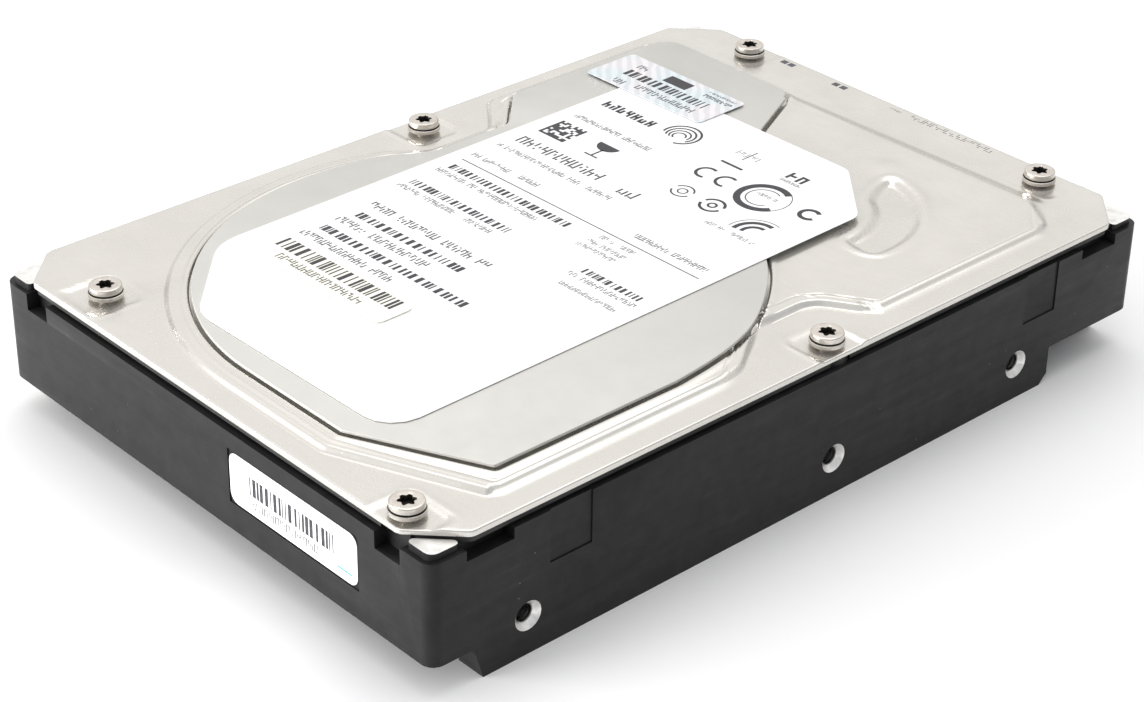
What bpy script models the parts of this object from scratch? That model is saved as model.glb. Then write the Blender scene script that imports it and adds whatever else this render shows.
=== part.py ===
"""Hard disk drive, 3.5-inch form factor, as separate solids in metres, +Z up.

The frame: +Y is the connector end, +X the right side, Z = 0 the underside of the side rails, and the
origin is the middle of the footprint. The cover faces up.
"""
from math import asin, atan2, cos, degrees, pi, radians, sin

import bmesh
import bpy
from mathutils import Matrix

MM = 0.001

# Overall sizes
CASE_WIDTH = 101.6 * MM
CASE_LENGTH = 147.0 * MM
WALL_TOP = 21.7 * MM
BOSS_TOP = 22.8 * MM
CORNER_RADIUS = 2.1 * MM
HALF_WIDTH = CASE_WIDTH / 2
HALF_LENGTH = CASE_LENGTH / 2

# Clearances
GAP = 0.3 * MM
STICKER_GAP = 0.1 * MM
BORE_CLEARANCE = 0.3 * MM

# Base casting
FLOOR_BOTTOM = 5.3 * MM
FLOOR_TOP = 7.8 * MM
THIN_WALL = 2.2 * MM
SIDE_WALL = 4.3 * MM
REAR_LAND = 10.5 * MM
RAIL_WIDTH = 5.0 * MM
RAIL_FRONT_INSET = 8.9 * MM
RAIL_REAR_INSET = 20.3 * MM
REAR_UNDERCUT = 6.4 * MM
MOTOR_HOLE_RADIUS = 17.0 * MM
FILTER_CORNER = (HALF_WIDTH - 5.8 * MM, -HALF_LENGTH + 9.5 * MM)

# Fixing holes of the form factor
SIDE_HOLE_HEIGHT = 6.35 * MM
FIRST_HOLE_INSET = 28.5 * MM
FRONT_HOLE_INSET = 16.9 * MM
SIDE_HOLE_STEPS = (0.0, 41.61 * MM, CASE_LENGTH - FIRST_HOLE_INSET - FRONT_HOLE_INSET)
BOTTOM_HOLE_INSETS = (41.28 * MM, 85.73 * MM)
BOTTOM_HOLE_SIDE_INSET = 3.18 * MM
HOLE_RADIUS = 1.45 * MM
HOLE_MOUTH_RADIUS = 2.35 * MM
HOLE_DEPTH = 3.8 * MM

# Cover, damping plate and labels
COVER_THICKNESS = 0.9 * MM
COVER_BOTTOM = BOSS_TOP + GAP
FLANGE_TOP = COVER_BOTTOM + COVER_THICKNESS
DOME_RISE = 0.9 * MM
DOME_TOP = FLANGE_TOP + DOME_RISE
COVER_SIDE_INSET = 0.4 * MM
COVER_END_INSET = 0.64 * MM
COVER_CLIP = 6.9 * MM
DAMPER_THICKNESS = 0.45 * MM
DAMPER_BOTTOM = DOME_TOP + GAP
DAMPER_TOP = DAMPER_BOTTOM + DAMPER_THICKNESS
LABEL_THICKNESS = 0.1 * MM
LABEL_BOTTOM = DAMPER_TOP + STICKER_GAP
STICKER_BOTTOM = LABEL_BOTTOM + LABEL_THICKNESS + STICKER_GAP
LABEL_TILT = radians(0.9)
SCREW_HEAD_RADIUS = 2.7 * MM
SCREW_HEAD_HEIGHT = 2.1 * MM - GAP
SCREW_SHANK_RADIUS = 1.3 * MM
SCREW_SHANK_LENGTH = 6.0 * MM
SCREW_HOLE_RADIUS = SCREW_SHANK_RADIUS + BORE_CLEARANCE
BOSS_RADIUS = 3.2 * MM
SCREW_PLACES = (
    (-HALF_WIDTH + 18.05 * MM, -HALF_LENGTH + 6.6 * MM),
    (-HALF_WIDTH + 4.8 * MM, 5.1 * MM),
    (-HALF_WIDTH + 18.5 * MM, HALF_LENGTH - 4.8 * MM),
    (HALF_WIDTH - 17.2 * MM, HALF_LENGTH - 4.7 * MM),
    (HALF_WIDTH - 3.1 * MM - 0.6 * MM, 4.3 * MM),
    (HALF_WIDTH - 9.3 * MM, -HALF_LENGTH + 3.9 * MM),
)

# Spindle and discs
PLATTER_RADIUS = 47.5 * MM
PLATTER_THICKNESS = 1.27 * MM
SHROUD_GAP = 1.1 * MM
CAVITY_RADIUS = PLATTER_RADIUS + SHROUD_GAP
SPINDLE_X = 0.0
SPINDLE_Y = -HALF_LENGTH + THIN_WALL + CAVITY_RADIUS
HUB_RADIUS = 12.2 * MM
HUB_FLANGE_RADIUS = 16.0 * MM
HUB_BOTTOM = 9.9 * MM
HUB_FLANGE_TOP = 11.1 * MM
SPACER_HEIGHT = 2.8 * MM
SHAFT_RADIUS = 2.5 * MM
CLAMP_THICKNESS = 1.0 * MM
CLAMP_SCREW_CIRCLE = 8.2 * MM
CLAMP_SCREW_COUNT = 4
LOWER_PLATTER = HUB_FLANGE_TOP + GAP
SPACER_BOTTOM = LOWER_PLATTER + PLATTER_THICKNESS + GAP
UPPER_PLATTER = SPACER_BOTTOM + SPACER_HEIGHT + GAP
CLAMP_BOTTOM = UPPER_PLATTER + PLATTER_THICKNESS + GAP

# Head actuator, turning about the pivot; at rest the heads are parked on the ramp
PIVOT_X = 14.5 * MM
PIVOT_Y = SPINDLE_Y + 56.2 * MM
PARKED_ANGLE = radians(197.0)
ARM_LENGTH = 38.0 * MM
HEAD_REACH = 50.0 * MM
SLEEVE_RADIUS = 5.5 * MM
PIVOT_BORE = 2.8 * MM
ARM_HUB_RADIUS = 8.2 * MM
ARM_THICKNESS = 1.0 * MM
SUSPENSION_THICKNESS = 0.2 * MM
SLIDER_DROP = 0.25 * MM
COIL_INNER = 15.0 * MM
COIL_OUTER = 26.5 * MM
COIL_HALF_ANGLE = radians(13.0)
COIL_WIDTH = 3.0 * MM
COIL_THICKNESS = 3.0 * MM
MAGNET_THICKNESS = 2.0 * MM
YOKE_THICKNESS = 1.6 * MM
MAGNET_START = radians(-2.0)
MAGNET_END = radians(74.0)

# Circuit board and its parts
BOARD_THICKNESS = 1.2 * MM
BOARD_BOTTOM = 2.0 * MM
BOARD_TOP = BOARD_BOTTOM + BOARD_THICKNESS
BOARD_SIDE_GAP = 1.0 * MM
BOARD_FRONT = SPINDLE_Y - 14.0 * MM
BOARD_REAR_INSET = 1.0 * MM
CHIP_HEIGHT = 1.0 * MM
CHIP_BOTTOM = BOARD_TOP + GAP
BOARD_SCREW_SHANK = 1.0 * MM
BOARD_SCREW_DEPTH = 1.9 * MM
CHIPS = (
    ("controller_chip", -12.0 * MM, 38.0 * MM, 14.0 * MM, 14.0 * MM),
    ("memory_chip", 12.0 * MM, 41.0 * MM, 11.0 * MM, 8.5 * MM),
    ("motor_chip", -30.0 * MM, 34.0 * MM, 9.0 * MM, 9.0 * MM),
)

# Rear connector
CONNECTOR_LEFT = 4.0 * MM
CONNECTOR_RIGHT = HALF_WIDTH - 6.0 * MM
CONNECTOR_FRONT = HALF_LENGTH - 12.2 * MM
CONNECTOR_FACE = HALF_LENGTH - 6.5 * MM
CONNECTOR_REAR = HALF_LENGTH - 0.5 * MM
CONNECTOR_TOP = 6.0 * MM
TONGUE_THICKNESS = 1.2 * MM

# Front label: left, bottom, right and top edges
FRONT_LABEL = (6.7 * MM, 10.3 * MM, 35.4 * MM, 18.6 * MM)

PARTS = "hard_disk_drive"
CUTTERS = "cutters"


def clear_scene():
    for thing in list(bpy.data.objects):
        bpy.data.objects.remove(thing, do_unlink=True)
    for name in (PARTS, CUTTERS):
        group = bpy.data.collections.new(name)
        bpy.context.scene.collection.children.link(group)


def make_material(name, colour, roughness, metallic):
    material = bpy.data.materials.new(name)
    material.use_nodes = True
    shader = material.node_tree.nodes["Principled BSDF"]
    shader.inputs["Base Color"].default_value = (*colour, 1.0)
    shader.inputs["Roughness"].default_value = roughness
    shader.inputs["Metallic"].default_value = metallic
    return material


def finish_mesh(mesh):
    """Weld a mesh, turn its faces outwards and shade its round sides smooth."""
    shape = bmesh.new()
    shape.from_mesh(mesh)
    bmesh.ops.remove_doubles(shape, verts=shape.verts, dist=1e-6)
    bmesh.ops.recalc_face_normals(shape, faces=shape.faces)
    shape.to_mesh(mesh)
    shape.free()
    mesh.shade_smooth()
    mesh.set_sharp_from_angle(angle=radians(35))


def add_object(name, mesh, group):
    thing = bpy.data.objects.new(name, mesh)
    bpy.data.collections[group].objects.link(thing)
    return thing


def freeze(source, name, group):
    """Replace an object with a mesh object of its evaluated shape."""
    bpy.context.view_layer.update()
    evaluated = source.evaluated_get(bpy.context.evaluated_depsgraph_get())
    mesh = bpy.data.meshes.new_from_object(evaluated)
    place = source.matrix_world.copy()
    bpy.data.objects.remove(source, do_unlink=True)
    finish_mesh(mesh)
    result = add_object(name, mesh, group)
    result.matrix_world = place
    return result


def plate(name, loops, bottom, top, group=PARTS):
    """A flat outline, with any further loops as its holes, between two heights."""
    curve = bpy.data.curves.new(name, "CURVE")
    curve.dimensions = "2D"
    curve.fill_mode = "BOTH"
    curve.extrude = (top - bottom) / 2
    for loop in loops:
        spline = curve.splines.new("POLY")
        spline.points.add(len(loop) - 1)
        for point, (x, y) in zip(spline.points, loop):
            point.co = (x, y, 0.0, 1.0)
        spline.use_cyclic_u = True
    flat = add_object(name + "_outline", curve, group)
    flat.location.z = (top + bottom) / 2
    solid = freeze(flat, name, group)
    solid.data.transform(solid.matrix_world)
    solid.matrix_world = Matrix.Identity(4)
    return solid


def turned(name, profile, centre, steps=24, group=PARTS, closed=False):
    """A profile of (radius, height) points, top to bottom on its outer side, turned about Z."""
    mesh = bpy.data.meshes.new(name)
    count = len(profile)
    edges = [(i, i + 1) for i in range(count - 1)]
    if closed:
        edges.append((count - 1, 0))
    mesh.from_pydata([(r, 0.0, z) for r, z in profile], edges, [])
    line = add_object(name + "_profile", mesh, group)
    screw = line.modifiers.new("Turn", "SCREW")
    screw.steps = steps
    screw.render_steps = steps
    screw.use_merge_vertices = True
    screw.merge_threshold = 1e-6
    line.location = (*centre, 0.0)
    return freeze(line, name, group)


def ring(name, centre, inner, outer, bottom, top, steps=24, group=PARTS):
    profile = [(outer, top), (outer, bottom), (inner, bottom), (inner, top)]
    return turned(name, profile, centre, steps, group, closed=True)


def disc(name, centre, radius, bottom, top, steps=24, group=PARTS):
    profile = [(0.0, top), (radius, top), (radius, bottom), (0.0, bottom)]
    return turned(name, profile, centre, steps, group)


def block(name, low, high, group=PARTS):
    """A box between two corners."""
    mesh = bpy.data.meshes.new(name)
    shape = bmesh.new()
    bmesh.ops.create_cube(shape, size=1.0)
    size = [h - l for l, h in zip(low, high)]
    middle = [(h + l) / 2 for l, h in zip(low, high)]
    bmesh.ops.scale(shape, vec=size, verts=shape.verts)
    bmesh.ops.translate(shape, vec=middle, verts=shape.verts)
    shape.to_mesh(mesh)
    shape.free()
    return add_object(name, mesh, group)


def boolean(target, tool, operation):
    """Cut the tool from the target, or join it on; the tool is hidden and left out of the build."""
    cutters = bpy.data.collections[CUTTERS]
    for group in list(tool.users_collection):
        group.objects.unlink(tool)
    cutters.objects.link(tool)
    tool.hide_render = True
    tool.display_type = "WIRE"
    change = target.modifiers.new(tool.name, "BOOLEAN")
    change.operation = operation
    change.solver = "EXACT"
    change.object = tool


def cut(target, *tools):
    for tool in tools:
        boolean(target, tool, "DIFFERENCE")


def join(target, *tools):
    for tool in tools:
        boolean(target, tool, "UNION")


def box_cut(target, name, low, high):
    cut(target, block(name, low, high, CUTTERS))


def arc(centre, radius, start, end, count):
    """Points on an arc, angles in degrees, both ends included."""
    angles = [radians(start + (end - start) * i / (count - 1)) for i in range(count)]
    return [(centre[0] + radius * cos(a), centre[1] + radius * sin(a)) for a in angles]


def circle(centre, radius, count=24):
    return arc(centre, radius, 0.0, 360.0 - 360.0 / count, count)


def rounded(corners, pieces=4):
    """An outline from (x, y, radius) corners, each rounded by an arc that meets both sides."""
    outline = []
    count = len(corners)
    for i, (x, y, radius) in enumerate(corners):
        before = corners[i - 1]
        after = corners[(i + 1) % count]
        if radius == 0.0:
            outline.append((x, y))
            continue
        a_in = atan2(before[1] - y, before[0] - x)
        a_out = atan2(after[1] - y, after[0] - x)
        half = (a_out - a_in) / 2
        reach = radius / abs(sin(half))
        middle = a_in + half
        if cos(half) < 0:
            middle += pi
        back = abs(cos(half) / sin(half)) * radius
        centre = (x + reach * cos(middle), y + reach * sin(middle))
        first = (x + back * cos(a_in), y + back * sin(a_in))
        last = (x + back * cos(a_out), y + back * sin(a_out))
        start = atan2(first[1] - centre[1], first[0] - centre[0])
        sweep = atan2(last[1] - centre[1], last[0] - centre[0]) - start
        sweep = (sweep + pi) % (2 * pi) - pi
        outline += arc(centre, radius, degrees(start), degrees(start + sweep), pieces + 1)
    return outline


def rectangle(x0, y0, x1, y1, radius=0.0, pieces=4):
    return rounded([(x0, y0, radius), (x1, y0, radius), (x1, y1, radius), (x0, y1, radius)], pieces)


def turn_outline(outline, angle, centre):
    """Turn an outline about a point."""
    c, s = cos(angle), sin(angle)
    moved = []
    for x, y in outline:
        dx, dy = x - centre[0], y - centre[1]
        moved.append((centre[0] + c * dx - s * dy, centre[1] + s * dx + c * dy))
    return moved


def polar(centre, radius, angle):
    return (centre[0] + radius * cos(angle), centre[1] + radius * sin(angle))


SPINDLE = (SPINDLE_X, SPINDLE_Y)
PIVOT = (PIVOT_X, PIVOT_Y)


def cavity_outline(offset=0.0):
    """The room for the discs and the actuator: a circle about the spindle, open to a box behind."""
    radius = CAVITY_RADIUS + offset
    side = HALF_WIDTH - SIDE_WALL + offset
    rear = HALF_LENGTH - REAR_LAND + offset
    shoulder = SPINDLE_Y + 34.7 * MM
    throat = SPINDLE_Y + 27.7 * MM
    start = degrees(asin((throat - SPINDLE_Y) / radius))
    bowl = arc(SPINDLE, radius, start, -180.0 - start, 41)
    box = rounded([
        (*bowl[-1], 0.0),
        (-side, shoulder, 1.5 * MM),
        (-side, rear, 5.0 * MM),
        (side, rear, 5.0 * MM),
        (side, shoulder, 1.5 * MM),
        (*bowl[0], 0.0),
    ])
    return bowl[1:-1] + box


def filter_pocket(radius, margin=0.0):
    """The room for the recirculation filter, in the front right corner beside the discs."""
    x, y = FILTER_CORNER[0] + margin, FILTER_CORNER[1] - margin
    return rounded([
        (x - 19.0 * MM, y, radius), (x - 7.0 * MM, y, radius), (x, y + 6.5 * MM, radius),
        (x, y + 26.0 * MM, radius), (SPINDLE_X + 20.0 * MM, SPINDLE_Y, radius),
    ])


def casting_pads():
    """Bare lands that stand up to the cover: one under each cover screw and one at each corner."""
    pads = [circle(place, BOSS_RADIUS, 20) for place in SCREW_PLACES]
    inset = 0.8 * MM
    leg = 5.9 * MM
    for sx in (-1, 1):
        for sy in (-1, 1):
            x, y = sx * (HALF_WIDTH - inset), sy * (HALF_LENGTH - inset)
            corners = [(x, y, 1.4 * MM), (x, y - sy * leg, 0.7 * MM), (x - sx * leg, y, 0.7 * MM)]
            pads.append(rounded(corners))
    return pads


def hole_tool(name, axis_place, turn):
    """A threaded hole with a countersunk mouth, cut into a face from outside."""
    profile = [
        (0.0, 1.0 * MM),
        (HOLE_MOUTH_RADIUS, 1.0 * MM),
        (HOLE_MOUTH_RADIUS, 0.0),
        (HOLE_RADIUS, -(HOLE_MOUTH_RADIUS - HOLE_RADIUS)),
        (HOLE_RADIUS, -HOLE_DEPTH),
        (0.0, -HOLE_DEPTH),
    ]
    tool = turned(name, profile, (0.0, 0.0), 20, CUTTERS)
    tool.matrix_world = Matrix.Translation(axis_place) @ turn
    return tool


def cut_fixing_holes(casting):
    for side in (-1, 1):
        turn = Matrix.Rotation(side * pi / 2, 4, "Y")
        for i, step in enumerate(SIDE_HOLE_STEPS):
            place = (side * HALF_WIDTH, HALF_LENGTH - FIRST_HOLE_INSET - step, SIDE_HOLE_HEIGHT)
            cut(casting, hole_tool(f"side_hole_{side}_{i}", place, turn))
        turn = Matrix.Rotation(pi, 4, "X")
        for i, inset in enumerate(BOTTOM_HOLE_INSETS):
            place = (side * (HALF_WIDTH - BOTTOM_HOLE_SIDE_INSET), HALF_LENGTH - inset, 0.0)
            cut(casting, hole_tool(f"bottom_hole_{side}_{i}", place, turn))


def cut_corner_notches(casting):
    """Gripping notches beside each corner, just under the cover."""
    depth = THIN_WALL
    above = BOSS_TOP + 1.0 * MM
    end_low, end_high = 6.2 * MM, 11.5 * MM
    side_low, side_high = 6.2 * MM, 14.4 * MM
    for sx in (-1, 1):
        for sy in (-1, 1):
            tag = f"{sx}_{sy}"
            xs = sorted((sx * (HALF_WIDTH - end_low), sx * (HALF_WIDTH - end_high)))
            ys = sorted((sy * (HALF_LENGTH + MM), sy * (HALF_LENGTH - depth)))
            box_cut(casting, "end_notch_" + tag, (xs[0], ys[0], 19.0 * MM), (xs[1], ys[1], above))
            ys = sorted((sy * (HALF_LENGTH - side_low), sy * (HALF_LENGTH - side_high)))
            xs = sorted((sx * (HALF_WIDTH + MM), sx * (HALF_WIDTH - depth)))
            box_cut(casting, "side_notch_" + tag, (xs[0], ys[0], 20.0 * MM), (xs[1], ys[1], above))


def cut_side_reliefs(casting):
    """Shallow upright reliefs in the long walls, near the outer fixing holes."""
    depth = 0.25 * MM
    for side in (-1, 1):
        for tag, inset in (("front", 20.8 * MM), ("rear", 119.2 * MM)):
            y = -HALF_LENGTH + inset
            xs = sorted((side * (HALF_WIDTH + MM), side * (HALF_WIDTH - depth)))
            low = (xs[0], y, 13.2 * MM)
            box_cut(casting, f"relief_{tag}_{side}", low, (xs[1], y + 7.6 * MM, BOSS_TOP))


def cut_underside(casting):
    """Leave two side rails, with sloped ends, and raise the floor between and beyond them."""
    below = -1.0 * MM
    side = HALF_WIDTH - RAIL_WIDTH
    far = HALF_LENGTH + MM
    box_cut(casting, "board_channel", (-side, -far, below), (side, far, FLOOR_BOTTOM))
    front = -HALF_LENGTH + RAIL_FRONT_INSET
    rear = HALF_LENGTH - RAIL_REAR_INSET
    slope = 1.6 * MM
    wide = HALF_WIDTH + MM
    front_profile = [
        (-far, below), (front, below), (front, 0.0), (front - slope, FLOOR_BOTTOM), (-far, FLOOR_BOTTOM),
    ]
    rear_profile = [
        (far, below), (rear - slope, below), (rear - slope, 0.0), (rear, slope),
        (rear, REAR_UNDERCUT), (far, REAR_UNDERCUT),
    ]
    for tag, profile in (("front", front_profile), ("rear", rear_profile)):
        tool = plate("rail_end_" + tag, [profile], -wide, wide, CUTTERS)
        tool.matrix_world = Matrix(((0, 0, 1, 0), (1, 0, 0, 0), (0, 1, 0, 0), (0, 0, 0, 1)))
        cut(casting, tool)


def head_connector_box(margin=0.0):
    """The slot through the floor for the head connector: low and high corners in plan."""
    x, y = PIVOT_X - 36.0 * MM, PIVOT_Y + 18.0 * MM
    return (x - margin, y - margin, x + 17.0 * MM + margin, y + 5.0 * MM + margin)


def board_screw_places():
    side = HALF_WIDTH - RAIL_WIDTH - 5.5 * MM
    front = BOARD_FRONT + 4.0 * MM
    rear = HALF_LENGTH - REAR_LAND - 6.5 * MM
    middle = SPINDLE_Y + 36.0 * MM
    return [(-side, front), (side, front), (-side, rear), (side, middle)]


def base_casting(paint):
    outer = rectangle(-HALF_WIDTH, -HALF_LENGTH, HALF_WIDTH, HALF_LENGTH, CORNER_RADIUS, 5)
    casting = plate("base_casting", [outer], 0.0, BOSS_TOP)
    cut_underside(casting)
    cut(casting, plate("cavity", [cavity_outline()], FLOOR_TOP, BOSS_TOP + MM, CUTTERS))
    cut(casting, plate("filter_pocket", [filter_pocket(MM)], FLOOR_TOP, BOSS_TOP + MM, CUTTERS))
    wide, long = HALF_WIDTH + MM, HALF_LENGTH + MM
    sheet = [[(-wide, -long), (wide, -long), (wide, long), (-wide, long)]]
    cut(casting, plate("rim_step", sheet + casting_pads(), WALL_TOP, BOSS_TOP + MM, CUTTERS))
    cut(casting, disc("motor_hole", SPINDLE, MOTOR_HOLE_RADIUS, 0.0, FLOOR_TOP + MM, 32, CUTTERS))
    for i, place in enumerate(SCREW_PLACES):
        depth = BOSS_TOP - SCREW_SHANK_LENGTH - 1.0 * MM
        cut(casting, disc(f"cover_bore_{i}", place, SCREW_HOLE_RADIUS, depth, BOSS_TOP + MM, 16, CUTTERS))
    for i, place in enumerate(board_screw_places()):
        top = FLOOR_BOTTOM + BOARD_SCREW_DEPTH
        radius = BOARD_SCREW_SHANK + BORE_CLEARANCE
        cut(casting, disc(f"board_bore_{i}", place, radius, 0.0, top, 12, CUTTERS))
    x0, y0, x1, y1 = head_connector_box(GAP)
    box_cut(casting, "connector_slot", (x0, y0, 0.0), (x1, y1, FLOOR_TOP + MM))
    cut(casting, disc("pivot_bore", PIVOT, PIVOT_BORE, FLOOR_TOP - 1.6 * MM, FLOOR_TOP + MM, 20, CUTTERS))
    x0, z0, x1, z1 = FRONT_LABEL
    low = (x0 - GAP, -HALF_LENGTH - MM, z0 - GAP)
    box_cut(casting, "label_recess", low, (x1 + GAP, -HALF_LENGTH + 0.25 * MM, z1 + GAP))
    cut_fixing_holes(casting)
    cut_corner_notches(casting)
    cut_side_reliefs(casting)
    casting.data.materials.append(paint)


def cover_outline(inset=0.0):
    """The cover's rectangle with its four corners clipped."""
    side = HALF_WIDTH - COVER_SIDE_INSET - inset
    end = HALF_LENGTH - COVER_END_INSET - inset
    clip = COVER_CLIP - inset * 0.4
    corners = []
    for sx, sy in ((1, -1), (1, 1), (-1, 1), (-1, -1)):
        pair = [(sx * (side - clip), sy * end, 1.4 * MM), (sx * side, sy * (end - clip), 1.4 * MM)]
        corners += pair if sx * sy < 0 else pair[::-1]
    return rounded(corners, 3)


def dome_outline(inset=0.0):
    """The raised area: concentric with the discs in front, stepping in around the middle screws."""
    side = HALF_WIDTH - 4.0 * MM - inset
    radius = 46.3 * MM - inset
    front = SPINDLE_Y - radius
    rear = HALF_LENGTH - 9.5 * MM - inset
    small, large = 1.2 * MM, 3.0 * MM
    left_screw, right_screw = SCREW_PLACES[1], SCREW_PLACES[4]
    pocket = 9.5 * MM + inset
    corners = [
        (SPINDLE_X + 22.5 * MM - inset * 0.2, front, small),
        (side, front + 10.5 * MM + inset * 0.2, large),
        (side, SPINDLE_Y + 9.0 * MM, 8 * MM),
        (right_screw[0] - pocket, right_screw[1] - 4.5 * MM, 5 * MM),
        (right_screw[0] - pocket, right_screw[1] + 6.5 * MM, 5 * MM),
        (side, right_screw[1] + 12.5 * MM + inset, small),
        (side, rear - 9.0 * MM, large),
        (side - 8.0 * MM, rear, large),
        (-side + 6.0 * MM, rear - 2.5 * MM, small),
        (-side, rear - 7.5 * MM, small),
        (-side, left_screw[1] + 14.5 * MM + inset, small),
        (left_screw[0] + pocket - 2.0 * MM, left_screw[1] + 8.0 * MM, 4 * MM),
        (left_screw[0] + pocket - 2.0 * MM, left_screw[1] - 5.0 * MM, 4 * MM),
    ]
    bowl = arc(SPINDLE, radius, 158.0, 270.0, 25)
    return rounded([(*bowl[-1], 0.0)] + corners + [(*bowl[0], 0.0)]) + bowl[1:-1]


def crescent():
    """The pressed-in crescent beside the actuator's pivot, between two arcs with their own centres."""
    outer_centre = (PIVOT_X + 1.7 * MM, PIVOT_Y - 1.5 * MM)
    inner_centre = (PIVOT_X - 0.6 * MM, PIVOT_Y - 3.9 * MM)
    outer = arc(outer_centre, 18.2 * MM, -15.0, 88.0, 15)
    inner = arc(inner_centre, 14.4 * MM, 64.0, -6.0, 13)
    return outer + inner


def top_cover(metal):
    cover = plate("top_cover", [cover_outline()], COVER_BOTTOM, FLANGE_TOP)
    join(cover, plate("dome", [dome_outline()], COVER_BOTTOM + 0.2 * MM, DOME_TOP, CUTTERS))
    hollow = dome_outline(COVER_THICKNESS)
    cut(cover, plate("dome_hollow", [hollow], COVER_BOTTOM - MM, DOME_TOP - COVER_THICKNESS, CUTTERS))
    cut(cover, plate("crescent", [crescent()], DOME_TOP - 0.4 * MM, DOME_TOP + MM, CUTTERS))
    for i, place in enumerate(SCREW_PLACES):
        bottom = COVER_BOTTOM - MM
        cut(cover, disc(f"cover_hole_{i}", place, SCREW_HOLE_RADIUS, bottom, DOME_TOP, 16, CUTTERS))
    cover.data.materials.append(metal)


def cover_gasket(rubber):
    """A seal ring on the wall's top, with holes round the screw bosses that it meets."""
    outer = cover_outline(0.45 * MM)
    inner = cavity_outline(GAP)
    ring_plate = plate("cover_gasket", [outer, inner], WALL_TOP + GAP, BOSS_TOP)
    for i, place in enumerate(SCREW_PLACES):
        cut(ring_plate, disc(f"seal_hole_{i}", place, BOSS_RADIUS + GAP, WALL_TOP, BOSS_TOP + MM, 20, CUTTERS))
    cut(ring_plate, plate("seal_pocket", [filter_pocket(0.0, GAP)], WALL_TOP, BOSS_TOP + MM, CUTTERS))
    ring_plate.data.materials.append(rubber)


def star_socket(centre, radius, bottom, top, name):
    """A six-lobed driver socket."""
    outline = []
    for i in range(12):
        angle = 2 * pi * i / 12
        reach = radius * (1.0 + 0.17 * cos(6 * angle))
        outline.append(polar(centre, reach, angle))
    return plate(name, [outline], bottom, top, CUTTERS)


def cover_screws(nickel):
    base = FLANGE_TOP + GAP
    top = base + SCREW_HEAD_HEIGHT
    waist = base + 0.75 * MM
    for i, place in enumerate(SCREW_PLACES):
        upper = SCREW_HEAD_RADIUS - 0.2 * MM
        profile = [
            (0.0, top), (upper - 0.2 * MM, top), (upper, top - 0.2 * MM), (upper, waist + 0.15 * MM),
            (upper - 0.15 * MM, waist), (SCREW_HEAD_RADIUS, waist - 0.15 * MM), (SCREW_HEAD_RADIUS, base),
            (SCREW_SHANK_RADIUS, base), (SCREW_SHANK_RADIUS, BOSS_TOP - SCREW_SHANK_LENGTH),
            (0.0, BOSS_TOP - SCREW_SHANK_LENGTH),
        ]
        screw = turned(f"cover_screw_{i + 1}", profile, place, 18)
        cut(screw, star_socket(place, 1.15 * MM, top - 1.0 * MM, top + MM, f"socket_{i}"))
        screw.data.materials.append(nickel)


def damper_outline():
    """The damping plate on the dome: over the discs, and on up the left side."""
    radius = 42.4 * MM
    right = SPINDLE_X + 42.2 * MM
    front = SPINDLE_Y - radius
    left = HALF_WIDTH - 6.3 * MM
    left_screw = SCREW_PLACES[1]
    rear = HALF_LENGTH - 13.4 * MM
    bowl = arc(SPINDLE, radius, 163.0, 270.0, 25)
    edge = [(SPINDLE_X + 21.8 * MM, front), (right, front + 10.0 * MM), (right, SPINDLE_Y + 1.3 * MM)]
    shoulder = [(41.6, 8.0), (40.4, 14.5), (37.9, 21.6), (31.5, 30.8), (25.0, 37.3), (14.0, 44.0), (4.0, 51.0)]
    edge += [(SPINDLE_X + x * MM, SPINDLE_Y + y * MM) for x, y in shoulder]
    edge += [(-4.0 * MM, rear - 20.0 * MM), (-7.5 * MM, rear - 13.5 * MM), (-13.0 * MM, rear - 2.2 * MM)]
    edge += arc((-16.5 * MM, rear - 3.0 * MM), 3.0 * MM, 20.0, 90.0, 5)
    edge += rounded([
        (*edge[-1], 0.0),
        (-left, rear, 4.0 * MM),
        (-left, left_screw[1] + 18.5 * MM, 2.0 * MM),
        (left_screw[0] + 9.8 * MM, left_screw[1] + 10.5 * MM, 4.0 * MM),
        (left_screw[0] + 9.8 * MM, left_screw[1] - 5.5 * MM, 4.0 * MM),
        (*bowl[0], 0.0),
    ])[1:]
    return bowl[1:] + edge


def labels(paper):
    """The printed labels: one big one, an asset sticker over its corner, a small one, one in front."""
    top, bottom = LABEL_BOTTOM + LABEL_THICKNESS, LABEL_BOTTOM
    left, right, front, rear = -33.35 * MM, 25.8 * MM, -61.15 * MM, 45.25 * MM
    centre = ((left + right) / 2, (front + rear) / 2)
    corners = [
        (left, front + 15.0 * MM, 9.0 * MM), (left + 15.5 * MM, front, 7.0 * MM), (right, front, 5.5 * MM),
        (right, rear - 11.0 * MM, 3.0 * MM), (right - 12.0 * MM, rear, 3.0 * MM), (left, rear, 1.5 * MM),
    ]
    outline = turn_outline(rounded(corners), LABEL_TILT, centre)
    main = plate("main_label", [outline], bottom, top)
    low, high = STICKER_BOTTOM, STICKER_BOTTOM + LABEL_THICKNESS
    asset = turn_outline(rectangle(-41.8 * MM, 39.2 * MM, -14.3 * MM, 50.6 * MM, 0.8 * MM), LABEL_TILT, centre)
    small = turn_outline(rectangle(-27.9 * MM, -43.9 * MM, 2.3 * MM, -36.8 * MM, 1.2 * MM), LABEL_TILT, centre)
    stickers = [main, plate("asset_sticker", [asset], low, high), plate("small_label", [small], low, high)]
    x0, z0, x1, z1 = FRONT_LABEL
    depth = -HALF_LENGTH + 0.25 * MM - STICKER_GAP
    front_label = plate("front_label", [rectangle(x0, z0, x1, z1, 1.6 * MM)], 0.0, LABEL_THICKNESS)
    front_label.data.transform(Matrix.Translation((0.0, depth, 0.0)) @ Matrix.Rotation(pi / 2, 4, "X"))
    for sticker in stickers + [front_label]:
        sticker.data.materials.append(paper)


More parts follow.
